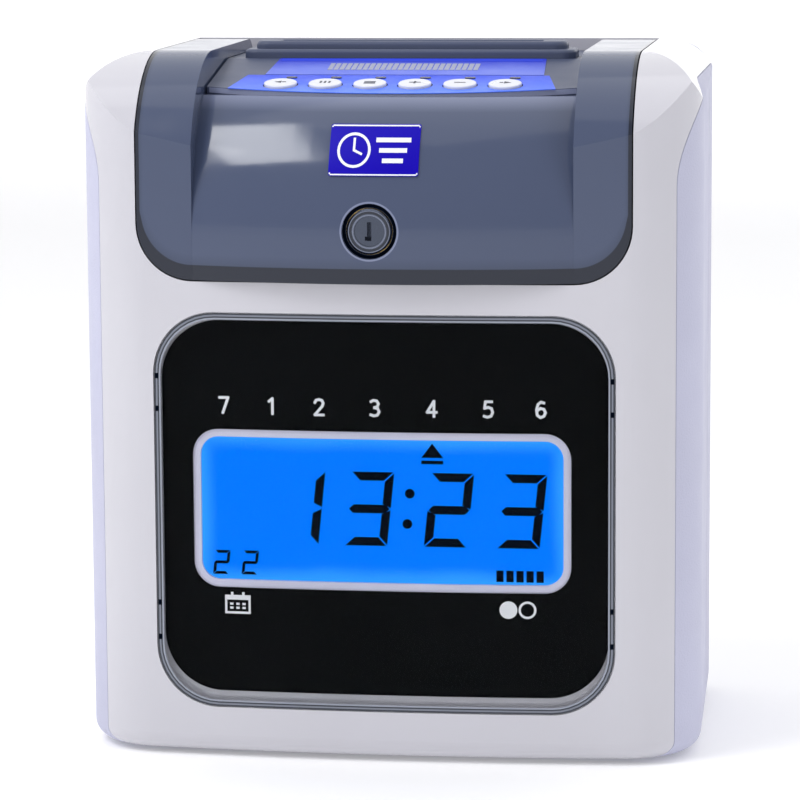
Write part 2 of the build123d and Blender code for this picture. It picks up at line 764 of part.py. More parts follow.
with BuildPart() as deck:
    with BuildSketch(Plane.YZ):
        with BuildLine():
            Polyline(
                (DECK_FRONT_Y - 2, DECK_FRONT_Z - 2 * DECK_RISE),
                (DECK_FLAT_Y, DECK_FLAT_Z),
                (DECK_REAR_Y, DECK_FLAT_Z),
                (DECK_REAR_Y, DECK_FLAT_Z - DECK_THICK),
                (DECK_FLAT_Y, DECK_FLAT_Z - DECK_THICK),
                (DECK_FRONT_Y - 2, DECK_FRONT_Z - DECK_THICK - 2 * DECK_RISE),
                close=True,
            )
        make_face()
    extrude(amount=DECK_HALF, both=True)
    # bowed front edge
    with BuildSketch(Plane.XY.offset(DECK_FRONT_Z - 20)):
        with Locations((0, CROWN_AXIS_Y)):
            Circle(DECK_LIP_R)
    extrude(amount=60, mode=Mode.INTERSECT)
    # ribs that stand on the mechanism frame
    with BuildSketch(Plane.YZ):
        with BuildLine():
            Polyline(
                (FRAME_FRONT_Y, FRAME_TOP),
                (FRAME_BACK_Y, FRAME_TOP),
                (FRAME_BACK_Y, DECK_FLAT_Z - 1),
                (DECK_FLAT_Y, DECK_FLAT_Z - 1),
                (FRAME_FRONT_Y, DECK_FLAT_Z - 1 - (DECK_FLAT_Y - FRAME_FRONT_Y) * DECK_RISE),
                close=True,
            )
        make_face()
    extrude(amount=FRAME_HALF, both=True)
    with BuildSketch(Plane.YZ):
        with BuildLine():
            Polyline(
                (FRAME_FRONT_Y - 1, FRAME_TOP - 1),
                (FRAME_BACK_Y + 1, FRAME_TOP - 1),
                (FRAME_BACK_Y + 1, DECK_FLAT_Z - DECK_THICK),
                (DECK_FLAT_Y, DECK_FLAT_Z - DECK_THICK),
                (
                    FRAME_FRONT_Y - 1,
                    DECK_FLAT_Z - DECK_THICK - (DECK_FLAT_Y - FRAME_FRONT_Y + 1) * DECK_RISE,
                ),
                close=True,
            )
        make_face()
    extrude(amount=FRAME_HALF - SHEET, both=True, mode=Mode.SUBTRACT)
    with BuildSketch(on_deck(2)):
        with Locations(*KEY_PLACES):
            Circle(KEY_HOLE_R)
    extrude(amount=-8, mode=Mode.SUBTRACT)
    with BuildSketch(Plane.XY.offset(DECK_FLAT_Z + 1)):
        with Locations((0, RIM_Y)):
            Rectangle(2 * THROAT_HALF + 0.6, THROAT_DEPTH + 0.6)
    extrude(amount=-10, mode=Mode.SUBTRACT)
    # posts for the key board
    with BuildSketch(on_deck(-DECK_THICK + 0.1)):
        with Locations((-DECK_POST_X, KEY_UP_SLOPE), (DECK_POST_X, KEY_UP_SLOPE)):
            Circle(2)
    extrude(amount=-(KEY_BOARD_DROP - DECK_THICK + 0.1))
finish(deck, "control_deck")

LABEL_THICK = 0.3
LABEL_HALF = 57.5
LABEL_REAR_HALF = 53.5
LABEL_SIDE = 8.9            # up-slope start of the label at its sides
LABEL_FRONT = 2.0
LABEL_END = 28.0

with BuildPart() as front_label:
    with BuildSketch(on_deck(0)):
        with BuildLine():
            ThreePointArc((-LABEL_HALF, LABEL_SIDE), (0, LABEL_FRONT), (LABEL_HALF, LABEL_SIDE))
            Polyline(
                (LABEL_HALF, LABEL_SIDE),
                (LABEL_REAR_HALF, LABEL_END),
                (-LABEL_REAR_HALF, LABEL_END),
                (-LABEL_HALF, LABEL_SIDE),
            )
        make_face()
        with Locations(*KEY_PLACES):
            Circle(KEY_HOLE_R, mode=Mode.SUBTRACT)
    extrude(amount=LABEL_THICK)
finish(front_label, "front_label")

REAR_LABEL_START = 28.8
REAR_LABEL_END = 53.0
REAR_LABEL_X = 2.0          # it sits a little right of the middle
REAR_LABEL_HALF = 49.5
REAR_LABEL_TOP_HALF = 48.0

with BuildPart() as rear_label:
    with BuildSketch(on_deck(0)):
        with BuildLine():
            Polyline(
                (REAR_LABEL_X - REAR_LABEL_HALF, REAR_LABEL_START),
                (REAR_LABEL_X + REAR_LABEL_HALF, REAR_LABEL_START),
                (REAR_LABEL_X + REAR_LABEL_TOP_HALF, REAR_LABEL_END),
                (REAR_LABEL_X - REAR_LABEL_TOP_HALF, REAR_LABEL_END),
                close=True,
            )
        make_face()
    extrude(amount=LABEL_THICK)
finish(rear_label, "rear_label")

LED_UP_SLOPE = 23.7
LED_ASIDE = 2.4             # each light is a little right of its key

with BuildPart() as indicators:
    with BuildSketch(on_deck(LABEL_THICK)):
        with Locations(*[(x + LED_ASIDE, LED_UP_SLOPE) for x in KEY_X]):
            RectangleRounded(3.8, 2.0, 0.9)
    extrude(amount=0.3)
finish(indicators, "indicator_leds")

SWITCH_TOP = -KEY_BOARD_DROP + 4.0

for index, place in enumerate(KEY_PLACES):
    with BuildPart() as key:
        with BuildSketch(on_deck(-DECK_THICK - 1.0)):
            with Locations(place):
                Circle(KEY_R)
        extrude(amount=DECK_THICK + 1.0 + 1.3)
        fillet(key.faces().sort_by(Axis(DECK.origin, DECK.z_dir))[-1].edges(), 0.5)
        with BuildSketch(on_deck(-DECK_THICK - 1.2)):
            with Locations(place):
                Circle(KEY_R + 1.2)
        extrude(amount=0.9)
        with BuildSketch(on_deck(SWITCH_TOP + KEY_TRAVEL + 0.2)):
            with Locations(place):
                Circle(1.5)
        extrude(amount=-SWITCH_TOP - KEY_TRAVEL - 0.2 - DECK_THICK - 1.0)
    finish(key, f"key_{index + 1}")

with BuildPart() as key_board:
    with BuildSketch(on_deck(-KEY_BOARD_DROP)):
        with Locations((0, KEY_UP_SLOPE)):
            Rectangle(2 * DECK_POST_X + 6, 17)
    extrude(amount=-BOARD_THICK)
finish(key_board, "key_board")

with BuildPart() as switches:
    with BuildSketch(on_deck(-KEY_BOARD_DROP)):
        with Locations(*KEY_PLACES):
            Rectangle(6, 6)
    extrude(amount=3.4)
    with BuildSketch(on_deck(-KEY_BOARD_DROP)):
        with Locations(*KEY_PLACES):
            Circle(1.6)
    extrude(amount=4.0)
finish(switches, "tact_switches")

with BuildPart() as slot_rim:
    with BuildSketch(Plane.XY.offset(DECK_FLAT_Z)):
        with Locations((0, RIM_Y)):
            RectangleRounded(2 * RIM_HALF, RIM_DEPTH, 5)
    extrude(amount=3.2)
    fillet(slot_rim.faces().sort_by(Axis.Z)[-1].edges(), 1.4)
    with BuildSketch(Plane.XY.offset(DECK_FLAT_Z)):
        with Locations((0, RIM_Y + 1.5)):
            RectangleRounded(2 * RIM_HALF - 7, RIM_DEPTH - 5, 5)
    extrude(amount=RIM_TOP - DECK_FLAT_Z)
    fillet(slot_rim.faces().sort_by(Axis.Z)[-1].edges(), 1.6)
    with BuildSketch(Plane.XY.offset(CHUTE_TOP + 0.2)):
        with Locations((0, RIM_Y)):
            Rectangle(2 * THROAT_HALF, THROAT_DEPTH)
    extrude(amount=DECK_FLAT_Z - CHUTE_TOP)
    with BuildSketch(Plane.XY.offset(CHUTE_TOP - 1)):
        with Locations((0, RIM_Y)):
            Rectangle(SLOT_LENGTH, SLOT_WIDTH)
    extrude(amount=20, mode=Mode.SUBTRACT)
    chamfer(slot_rim.faces().sort_by(Axis.Z)[-1].inner_wires()[0].edges(), 1.8)
finish(slot_rim, "slot_rim")

# ---------------------------------------------------------------- card chute
CHUTE_FRONT_Y = CARD_Y - SLOT_WIDTH / 2
CHUTE_REAR_Y = CARD_Y + SLOT_WIDTH / 2
ROLLER_X = 25.0
ROLLER_LONG = 12.0
CHUTE_MIDDLE_Z = (CHUTE_BOTTOM + CHUTE_TOP) / 2
CHUTE_HIGH = CHUTE_TOP - CHUTE_BOTTOM
PRINT_WINDOW_HALF = 41.0
PRINT_WINDOW_HIGH = 17.0

with BuildPart() as chute_front:
    with BuildSketch(facing_y(CHUTE_FRONT_Y)):
        with Locations((0, CHUTE_MIDDLE_Z)):
            Rectangle(2 * CHUTE_HALF + 3, CHUTE_HIGH)
        with Locations((0, PRINT_Z)):
            Rectangle(2 * PRINT_WINDOW_HALF, PRINT_WINDOW_HIGH, mode=Mode.SUBTRACT)
        with Locations((-ROLLER_X, FEED_Z), (ROLLER_X, FEED_Z)):
            Rectangle(ROLLER_LONG + 2, 2 * PINCH_ROLLER_R + 1, mode=Mode.SUBTRACT)
    extrude(amount=SHEET)
finish(chute_front, "chute_front_guide")

PLATEN_HALF = 44.5
PLATEN_HIGH = 12.0

with BuildPart() as chute_rear:
    with BuildSketch(facing_y(CHUTE_REAR_Y + SHEET)):
        with Locations((0, CHUTE_MIDDLE_Z)):
            Rectangle(2 * CHUTE_HALF + 3, CHUTE_HIGH)
        with Locations((0, PRINT_Z)):
            Rectangle(2 * PLATEN_HALF + 1, PLATEN_HIGH + 1, mode=Mode.SUBTRACT)
        with Locations((-ROLLER_X, FEED_Z), (ROLLER_X, FEED_Z)):
            Rectangle(ROLLER_LONG + 2, 2 * FEED_ROLLER_R - 2, mode=Mode.SUBTRACT)
    extrude(amount=SHEET)
    # side rails, and tabs out to the mechanism frame
    with BuildSketch(facing_y(CHUTE_REAR_Y)):
        for side in (-1, 1):
            with Locations((side * (CHUTE_HALF + 0.75), CHUTE_MIDDLE_Z)):
                Rectangle(1.5, CHUTE_HIGH)
    extrude(amount=SLOT_WIDTH)
    with BuildSketch(facing_y(CHUTE_REAR_Y + SHEET)):
        for side in (-1, 1):
            with Locations((side * (CHUTE_HALF + 4.6), 84), (side * (CHUTE_HALF + 4.6), 216)):
                Rectangle(6.8, 8)
    extrude(amount=SHEET)
    # the stop the card lands on
    with BuildSketch(facing_y(CHUTE_REAR_Y + 0.1)):
        with Locations((0, CHUTE_BOTTOM + 2)):
            Rectangle(2 * CHUTE_HALF + 0.2, 4)
    extrude(amount=SLOT_WIDTH + 0.1)
finish(chute_rear, "chute_rear_guide")

with BuildPart() as card_sensor:
    with BuildSketch(facing_y(CHUTE_FRONT_Y - SHEET)):
        with Locations((0, 92)):
            Rectangle(12, 9)
    extrude(amount=5)
finish(card_sensor, "card_sensor")

# ---------------------------------------------------------------- mechanism frame
FRAME_IN = FRAME_HALF - SHEET
SHELF_Z = 165.0


with BuildPart() as frame:
    with BuildSketch(Plane.XY.offset(FRAME_BOTTOM)):
        with Locations((0, (FRAME_FRONT_Y + FRAME_BACK_Y + SHEET) / 2)):
            Rectangle(2 * FRAME_HALF, FRAME_BACK_Y + SHEET - FRAME_FRONT_Y)
        with Locations((0, (FRAME_FRONT_Y + FRAME_BACK_Y) / 2 - 5)):
            Rectangle(2 * FRAME_IN, FRAME_BACK_Y - FRAME_FRONT_Y + 10, mode=Mode.SUBTRACT)
    extrude(amount=FRAME_TOP - FRAME_BOTTOM)
    # bottom tie between the side plates
    with BuildSketch(Plane.XY.offset(FRAME_BOTTOM)):
        with Locations((0, (FRAME_FRONT_Y + FRAME_BACK_Y) / 2)):
            Rectangle(2 * FRAME_IN + 1, FRAME_BACK_Y - FRAME_FRONT_Y)
    extrude(amount=SHEET)
    # shelves for the carriage motor and the idler
    with BuildSketch(Plane.XY.offset(SHELF_Z - SHEET)):
        for side in (-1, 1):
            with Locations((side * (FRAME_IN - 12), PULLEY_Y)):
                Rectangle(25, 26)
    extrude(amount=SHEET)
    with BuildSketch(Plane.XY.offset(SHELF_Z - 3)):
        with Locations((PULLEY_X, PULLEY_Y)):
            Circle(2.2)
    extrude(amount=5, mode=Mode.SUBTRACT)
    with BuildSketch(Plane.XY.offset(SHELF_Z)):
        with Locations((-PULLEY_X, PULLEY_Y)):
            Circle(1.5)
    extrude(amount=10.5)
    # bores for shafts, slots for the ribbon cartridge's trunnions, windows that lighten the sides
    with BuildSketch(facing_x(-FRAME_HALF - 1)):
        with Locations((GUIDE_Y, GUIDE_Z)):
            Circle(GUIDE_R)
        with Locations((RAIL_Y, GUIDE_Z)):
            Circle(RAIL_R)
        with Locations((FEED_Y, FEED_Z)):
            Circle(2.5 + RUNNING)
        with Locations((PINCH_Y, FEED_Z)):
            Circle(2.0 + RUNNING)
        with Locations((PIVOT_Y, PIVOT_Z + 3)):
            SlotOverall(10.6, 4.6, rotation=90)
        with Locations((-12, 90), (-12, 134)):
            RectangleRounded(20, 34, 3)
        with Locations((34, 170)):
            RectangleRounded(12, 60, 3)
    extrude(amount=2 * FRAME_HALF + 2, mode=Mode.SUBTRACT)
    with BuildSketch(facing_x(FRAME_IN - 1)):
        with Locations((PINION_Y, PINION_Z)):
            Circle(3)
    extrude(amount=SHEET + 2, mode=Mode.SUBTRACT)
    with BuildSketch(facing_y(FRAME_BACK_Y + SHEET + 1)):
        with Locations(*[(x, z) for x in (-POST_X, POST_X) for z in POST_Z]):
            Circle(SCREW_R + 0.2)
        with Locations((0, 105), (0, 175)):
            RectangleRounded(56, 44, 4)
    extrude(amount=SHEET + 2, mode=Mode.SUBTRACT)
finish(frame, "mechanism_frame")

with BuildPart() as frame_screws:
    with BuildSketch(facing_y(FRAME_BACK_Y)):
        with Locations(*[(x, z) for x in (-POST_X, POST_X) for z in POST_Z]):
            Circle(2.8)
    extrude(amount=2)
    with BuildSketch(facing_y(FRAME_BACK_Y)):
        with Locations(*[(x, z) for x in (-POST_X, POST_X) for z in POST_Z]):
            Circle(SCREW_R)
    extrude(amount=-10)
finish(frame_screws, "frame_screws")

# ---------------------------------------------------------------- card feed
GEAR_X = FRAME_HALF + 1.2
GEAR_WIDE = 4.0
MESH_ANGLE = math.degrees(math.atan2(PINION_Z - FEED_Z, PINION_Y - FEED_Y))


def gear_outline(teeth, first_tooth):
    """A spur gear with straight-sided teeth; first_tooth is the angle of one tooth's centre."""
    pitch_r = GEAR_MODULE * teeth / 2
    root_r = pitch_r - 1.2 * GEAR_MODULE
    tip_r = pitch_r + 0.85 * GEAR_MODULE
    root_half = math.pi * GEAR_MODULE * 0.30
    tip_half = math.pi * GEAR_MODULE * 0.10
    with BuildSketch(Plane.XY) as gear:
        Circle(root_r)
        with PolarLocations(0, teeth, start_angle=first_tooth):
            with BuildLine():
                Polyline(
                    (root_r - 0.4, -root_half),
                    (tip_r, -tip_half),
                    (tip_r, tip_half),
                    (root_r - 0.4, root_half),
                    close=True,
                )
            make_face()
    return gear.sketch_local


with BuildPart() as feed_shaft:
    with BuildSketch(facing_x(-FRAME_HALF - 2)):
        with Locations((FEED_Y, FEED_Z)):
            Circle(2.5)
    extrude(amount=2 * FRAME_HALF + 9)
finish(feed_shaft, "feed_shaft")

with BuildPart() as feed_rollers:
    for x in (-ROLLER_X, ROLLER_X):
        with BuildSketch(facing_x(x - ROLLER_LONG / 2)):
            with Locations((FEED_Y, FEED_Z)):
                Circle(FEED_ROLLER_R)
                Circle(2.5, mode=Mode.SUBTRACT)
        extrude(amount=ROLLER_LONG)
finish(feed_rollers, "feed_rollers")

with BuildPart() as feed_gear:
    with BuildSketch(facing_x(GEAR_X)):
        with Locations((FEED_Y, FEED_Z)):
            add(gear_outline(GEAR_TEETH, MESH_ANGLE))
            Circle(2.5, mode=Mode.SUBTRACT)
    extrude(amount=GEAR_WIDE)
finish(feed_gear, "feed_gear")

with BuildPart() as pinch_shaft:
    with BuildSketch(facing_x(-FRAME_HALF - 2)):
        with Locations((PINCH_Y, FEED_Z)):
            Circle(2.0)
    extrude(amount=2 * FRAME_HALF + 2.6)
finish(pinch_shaft, "pinch_shaft")

with BuildPart() as pinch_rollers:
    for x in (-ROLLER_X, ROLLER_X):
        with BuildSketch(facing_x(x - ROLLER_LONG / 2)):
            with Locations((PINCH_Y, FEED_Z)):
                Circle(PINCH_ROLLER_R)
                Circle(2.0, mode=Mode.SUBTRACT)
        extrude(amount=ROLLER_LONG)
finish(pinch_rollers, "pinch_rollers")

with BuildPart() as feed_motor:
    with BuildSketch(facing_x(FRAME_IN)):
        with Locations((PINION_Y, PINION_Z)):
            Circle(10.5)
    extrude(amount=-17)
finish(feed_motor, "feed_motor")

with BuildPart() as motor_pinion:
    with BuildSketch(facing_x(GEAR_X)):
        with Locations((PINION_Y, PINION_Z)):
            add(gear_outline(PINION_TEETH, MESH_ANGLE + 180 + 180 / PINION_TEETH))
    extrude(amount=GEAR_WIDE)
    with BuildSketch(facing_x(FRAME_IN + 0.3)):
        with Locations((PINION_Y, PINION_Z)):
            Circle(1.5)
    extrude(amount=GEAR_X - FRAME_IN)
finish(motor_pinion, "motor_pinion")

# ---------------------------------------------------------------- printer
with BuildPart() as guide_shaft:
    with BuildSketch(facing_x(-FRAME_HALF - 1)):
        with Locations((GUIDE_Y, GUIDE_Z)):
            Circle(GUIDE_R)
    extrude(amount=2 * FRAME_HALF + 2)
finish(guide_shaft, "guide_shaft")

with BuildPart() as carriage_rail:
    with BuildSketch(facing_x(-FRAME_HALF - 1)):
        with Locations((RAIL_Y, GUIDE_Z)):
            Circle(RAIL_R)
    extrude(amount=2 * FRAME_HALF + 2)
finish(carriage_rail, "carriage_rail")

CARRIAGE_HALF = 12.0
CARRIAGE_TOP = 190.0

with BuildPart() as carriage:
    with BuildSketch(facing_x(-CARRIAGE_HALF)):
        with Locations((-12.5, CARRIAGE_TOP - 6)):
            RectangleRounded(27, 12, 1.5)
        with Locations((GUIDE_Y, GUIDE_Z)):
            Circle(GUIDE_R + RUNNING, mode=Mode.SUBTRACT)
        with Locations((RAIL_Y - 3, GUIDE_Z)):
            Rectangle(10, 2 * RAIL_R + 0.4, mode=Mode.SUBTRACT)
    extrude(amount=2 * CARRIAGE_HALF)
    # tongue beside the belt
    with BuildSketch(facing_x(-6)):
        with Locations((PULLEY_Y - PULLEY_R - 3.2, 174)):
            Rectangle(2.4, 11)
    extrude(amount=12)
finish(carriage, "print_carriage")

with BuildPart() as print_head:
    with BuildSketch(facing_x(-9)):
        with Locations((-10, CARRIAGE_TOP + 8)):
            RectangleRounded(24, 16, 1)
        # cooling fins
        with Locations(*[(-20 + 4 * fin, CARRIAGE_TOP + 15) for fin in range(5)]):
            Rectangle(1.6, 5, mode=Mode.SUBTRACT)
    extrude(amount=18)
    with BuildSketch(facing_y(CARD_Y - 9.2)):
        with Locations((0, PRINT_Z)):
            Rectangle(7, 10)
    extrude(amount=6.5)
finish(print_head, "print_head")

with BuildPart() as drive_pulley:
    with BuildSketch(Plane.XY.offset(SHELF_Z + 1)):
        with Locations((PULLEY_X, PULLEY_Y)):
            Circle(PULLEY_R + 1)
    extrude(amount=0.9)
    with BuildSketch(Plane.XY.offset(SHELF_Z + 1)):
        with Locations((PULLEY_X, PULLEY_Y)):
            Circle(PULLEY_R - 0.1)
    extrude(amount=8)
    with BuildSketch(Plane.XY.offset(SHELF_Z - SHEET + 0.3)):
        with Locations((PULLEY_X, PULLEY_Y)):
            Circle(1.5)
    extrude(amount=3)
finish(drive_pulley, "drive_pulley")

with BuildPart() as idler_pulley:
    with BuildSketch(Plane.XY.offset(SHELF_Z + 1)):
        with Locations((-PULLEY_X, PULLEY_Y)):
            Circle(PULLEY_R + 1)
    extrude(amount=0.9)
    with BuildSketch(Plane.XY.offset(SHELF_Z + 1)):
        with Locations((-PULLEY_X, PULLEY_Y)):
            Circle(PULLEY_R - 0.1)
    extrude(amount=8)
    with BuildSketch(Plane.XY.offset(SHELF_Z)):
        with Locations((-PULLEY_X, PULLEY_Y)):
            Circle(1.5 + RUNNING)
    extrude(amount=12, mode=Mode.SUBTRACT)
finish(idler_pulley, "idler_pulley")

with BuildPart() as belt:
    with BuildSketch(Plane.XY.offset(SHELF_Z + 2.4)):
        with Locations((0, PULLEY_Y)):
            SlotCenterToCenter(2 * PULLEY_X, 2 * PULLEY_R + 2.4)
            SlotCenterToCenter(2 * PULLEY_X, 2 * PULLEY_R + 0.4, mode=Mode.SUBTRACT)
    extrude(amount=5)
finish(belt, "carriage_belt")

with BuildPart() as carriage_motor:
    with BuildSketch(Plane.XY.offset(SHELF_Z - SHEET)):
        with Locations((PULLEY_X, PULLEY_Y)):
            Circle(11.5)
    extrude(amount=-24)
finish(carriage_motor, "carriage_motor")

with BuildPart() as platen:
    with BuildSketch(facing_y(CHUTE_REAR_Y + SHEET + 5)):
        with Locations((0, PRINT_Z)):
            Rectangle(2 * FRAME_IN - 0.2, PLATEN_HIGH - 2)
    extrude(amount=4.7)
    with BuildSketch(facing_y(CHUTE_REAR_Y + SHEET + 5)):
        with Locations((0, PRINT_Z)):
            Rectangle(2 * PLATEN_HALF, PLATEN_HIGH)
    extrude(amount=SHEET + 4.9)
finish(platen, "platen")

CARTRIDGE_HALF = 47.0
KNOB_X = -34.0
KNOB_Z = 212.5
CARTRIDGE_FRONT_Y = -20.0

with BuildPart() as cartridge:
    with BuildSketch(facing_x(-CARTRIDGE_HALF)):
        with Locations((-7, 216.8)):
            RectangleRounded(26, 14.4, 1.5)
    extrude(amount=2 * CARTRIDGE_HALF)
    # arms that hold the ribbon out in front of the card
    for x in (-CARTRIDGE_HALF, CARTRIDGE_HALF - 6):
        with BuildSketch(facing_x(x)):
            with Locations((6.75, 200.5)):
                Rectangle(9.5, 21)
        extrude(amount=6)
    # trunnions in the frame's slots
    with BuildSketch(facing_x(-FRAME_HALF)):
        with Locations((PIVOT_Y, PIVOT_Z)):
            Circle(2.0)
    extrude(amount=2 * FRAME_HALF)
    with BuildSketch(facing_y(CARTRIDGE_FRONT_Y + 8)):
        with Locations((KNOB_X, KNOB_Z)):
            Circle(1.5 + RUNNING)
    extrude(amount=12, mode=Mode.SUBTRACT)
finish(cartridge, "ribbon_cartridge")

with BuildPart() as ribbon:
    with BuildSketch(facing_y(9.8)):
        with Locations((0, 197)):
            Rectangle(2 * (CARTRIDGE_HALF - 6), 13)
    extrude(amount=0.4)
finish(ribbon, "ribbon")

with BuildPart() as knob:
    with BuildSketch(facing_y(CARTRIDGE_FRONT_Y - 0.4)):
        with Locations((KNOB_X, KNOB_Z)):
            Circle(4.5)
            with PolarLocations(4.7, 12):
                Circle(0.6, mode=Mode.SUBTRACT)
    extrude(amount=4.5)
    with BuildSketch(facing_y(CARTRIDGE_FRONT_Y + 7.5)):
        with Locations((KNOB_X, KNOB_Z)):
            Circle(1.5)
    extrude(amount=9)
finish(knob, "ribbon_knob")

# ---------------------------------------------------------------- power
with BuildPart() as power_board:
    with BuildSketch(Plane.XY.offset(POWER_Z)):
        with Locations((-52, 28)):
            Rectangle(64, 60)
    extrude(amount=BOARD_THICK)
    # transformer: laminated core with the winding through it
    with BuildSketch(Plane.XY.offset(POWER_Z + BOARD_THICK)):
        with Locations((-42, 22)):
            Rectangle(40, 32)
    extrude(amount=6)
    with BuildSketch(Plane.XY.offset(POWER_Z + BOARD_THICK + 6)):
        with Locations((-42, 22)):
            Rectangle(26, 34)
    extrude(amount=22)
finish(power_board, "power_board")

with BuildPart() as battery:
    for x in (32.0, 48.0, 64.0):
        with BuildSketch(facing_y(52)):
            with Locations((x, BODY_BOTTOM + WALL + 7.6)):
                Circle(7.6)
        extrude(amount=50)
finish(battery, "backup_battery")

with BuildPart() as inlet:
    with BuildSketch(facing_y(REAR_Y - WALL)):
        with Locations((INLET_X, INLET_Z)):
            Rectangle(10, 12)
    extrude(amount=12)
    with BuildSketch(facing_y(REAR_Y - 0.5)):
        with Locations((INLET_X, INLET_Z)):
            Circle(INLET_R - 0.2)
    extrude(amount=3)
    with BuildSketch(facing_y(REAR_Y)):
        with Locations((INLET_X, INLET_Z)):
            Circle(2.75)
            Circle(1.0, mode=Mode.SUBTRACT)
    extrude(amount=9.5, mode=Mode.SUBTRACT)
finish(inlet, "power_inlet")
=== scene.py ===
import json
import math

import bmesh
import bpy
from mathutils import Matrix, Vector
from mathutils.bvhtree import BVHTree


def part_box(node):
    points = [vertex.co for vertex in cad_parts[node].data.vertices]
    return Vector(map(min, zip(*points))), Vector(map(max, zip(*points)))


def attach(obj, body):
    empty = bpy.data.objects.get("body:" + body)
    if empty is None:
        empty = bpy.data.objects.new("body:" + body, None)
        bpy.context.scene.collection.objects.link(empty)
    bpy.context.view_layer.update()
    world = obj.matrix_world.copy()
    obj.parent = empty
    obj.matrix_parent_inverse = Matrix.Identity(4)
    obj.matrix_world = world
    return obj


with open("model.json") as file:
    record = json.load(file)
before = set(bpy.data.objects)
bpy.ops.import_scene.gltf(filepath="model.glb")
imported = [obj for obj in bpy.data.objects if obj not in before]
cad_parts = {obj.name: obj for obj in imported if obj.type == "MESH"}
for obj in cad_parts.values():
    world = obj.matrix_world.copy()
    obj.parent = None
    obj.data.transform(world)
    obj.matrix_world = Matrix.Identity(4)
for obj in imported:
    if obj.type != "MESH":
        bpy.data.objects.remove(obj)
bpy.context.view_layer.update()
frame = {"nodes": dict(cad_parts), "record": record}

nodes = frame["nodes"]
MM = 0.001          # the scene is in metres; flat marks are laid out in millimetres


def middle(node, axis):
    """The middle of a node's box along one axis, in mm."""
    low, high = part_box(node)
    return (low[axis] + high[axis]) / 2 / MM


def half(node, axis):
    """Half the length of a node's box along one axis, in mm."""
    low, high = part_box(node)
    return (high[axis] - low[axis]) / 2 / MM


# ------------------------------------------------------------------ material helpers
DRIFT = (14, 4)     # scale and detail of the noise behind a slow drift of colour
GLOSS = (60, 5)     # scale and detail of the noise behind uneven gloss


def srgb(r, g, b):
    """A colour given as 0-255 display values, in the linear values that shaders take."""
    def lin(v):
        v = v / 255
        return v / 12.92 if v <= 0.04045 else ((v + 0.055) / 1.055) ** 2.4
    return (lin(r), lin(g), lin(b), 1.0)


def shade(color, factor):
    """The same colour, lighter or darker by a factor."""
    return (color[0] * factor, color[1] * factor, color[2] * factor, 1.0)


class Shader:
    """A material with its Principled shader and small helpers that add nodes to it."""

    def __init__(self, name, roughness=0.5, metallic=0.0, **sockets):
        self.mat = bpy.data.materials.new(name)
        self.mat.use_nodes = True
        self.tree = self.mat.node_tree
        self.bsdf = self.tree.nodes["Principled BSDF"]
        self.bsdf.inputs["Roughness"].default_value = roughness
        self.bsdf.inputs["Metallic"].default_value = metallic
        for key, value in sockets.items():
            self.bsdf.inputs[key.replace("_", " ")].default_value = value
        self.coord = self.tree.nodes.new("ShaderNodeTexCoord").outputs["Object"]

    def node(self, kind, **settings):
        """A new node with its settings."""
        made = self.tree.nodes.new(kind)
        for key, value in settings.items():
            setattr(made, key, value)
        return made

    def link(self, a, b):
        """Joins an output to an input."""
        self.tree.links.new(a, b)

    def mapped(self, **settings):
        """The object coordinates, turned or scaled."""
        mapping = self.node("ShaderNodeMapping")
        for key, value in settings.items():
            mapping.inputs[key].default_value = value
        self.link(self.coord, mapping.inputs["Vector"])
        return mapping.outputs["Vector"]

    def axes(self):
        """The object coordinates as separate sockets."""
        split = self.node("ShaderNodeSeparateXYZ")
        self.link(self.coord, split.inputs["Vector"])
        return split.outputs["X"], split.outputs["Y"], split.outputs["Z"]

    def noise(self, scale, detail=3.0, vector=None):
        """Noise over the object coordinates, or over another vector."""
        tex = self.node("ShaderNodeTexNoise")
        tex.inputs["Scale"].default_value = scale
        tex.inputs["Detail"].default_value = detail
        self.link(vector or self.coord, tex.inputs["Vector"])
        return tex.outputs["Fac"]

    def math(self, operation, a, b=0.0, c=0.0):
        """One arithmetic node; a, b and c are numbers or sockets."""
        made = self.node("ShaderNodeMath", operation=operation)
        for slot, value in enumerate((a, b, c)):
            if isinstance(value, (int, float)):
                made.inputs[slot].default_value = value
            else:
                self.link(value, made.inputs[slot])
        return made.outputs["Value"]

    def length(self, a, b):
        """The length of the flat vector a, b."""
        squares = self.math("ADD", self.math("MULTIPLY", a, a), self.math("MULTIPLY", b, b))
        return self.math("SQRT", squares)

    def spread(self, fac, low, high, start=0.3, end=0.7):
        """Carries start to end over into low to high, held at both ends."""
        remap = self.node("ShaderNodeMapRange")
        remap.inputs["From Min"].default_value = start
        remap.inputs["From Max"].default_value = end
        remap.inputs["To Min"].default_value = low
        remap.inputs["To Max"].default_value = high
        self.link(fac, remap.inputs["Value"])
        return remap.outputs["Result"]

    def two_tone(self, fac, a, b, start=0.3, end=0.7, socket="Base Color"):
        """Two colours mixed along a ramp into one socket of the shader."""
        ramp = self.node("ShaderNodeValToRGB")
        ramp.color_ramp.elements[0].position = start
        ramp.color_ramp.elements[0].color = a
        ramp.color_ramp.elements[1].position = end
        ramp.color_ramp.elements[1].color = b
        self.link(fac, ramp.inputs["Fac"])
        self.link(ramp.outputs["Color"], self.bsdf.inputs[socket])
        return ramp

    def rough(self, fac, low, high):
        """Roughness that wanders between low and high."""
        self.link(self.spread(fac, low, high), self.bsdf.inputs["Roughness"])

    def bump(self, fac, depth):
        """Relief of the given depth in metres."""
        made = self.node("ShaderNodeBump")
        made.inputs["Distance"].default_value = depth
        self.link(fac, made.inputs["Height"])
        self.link(made.outputs["Normal"], self.bsdf.inputs["Normal"])


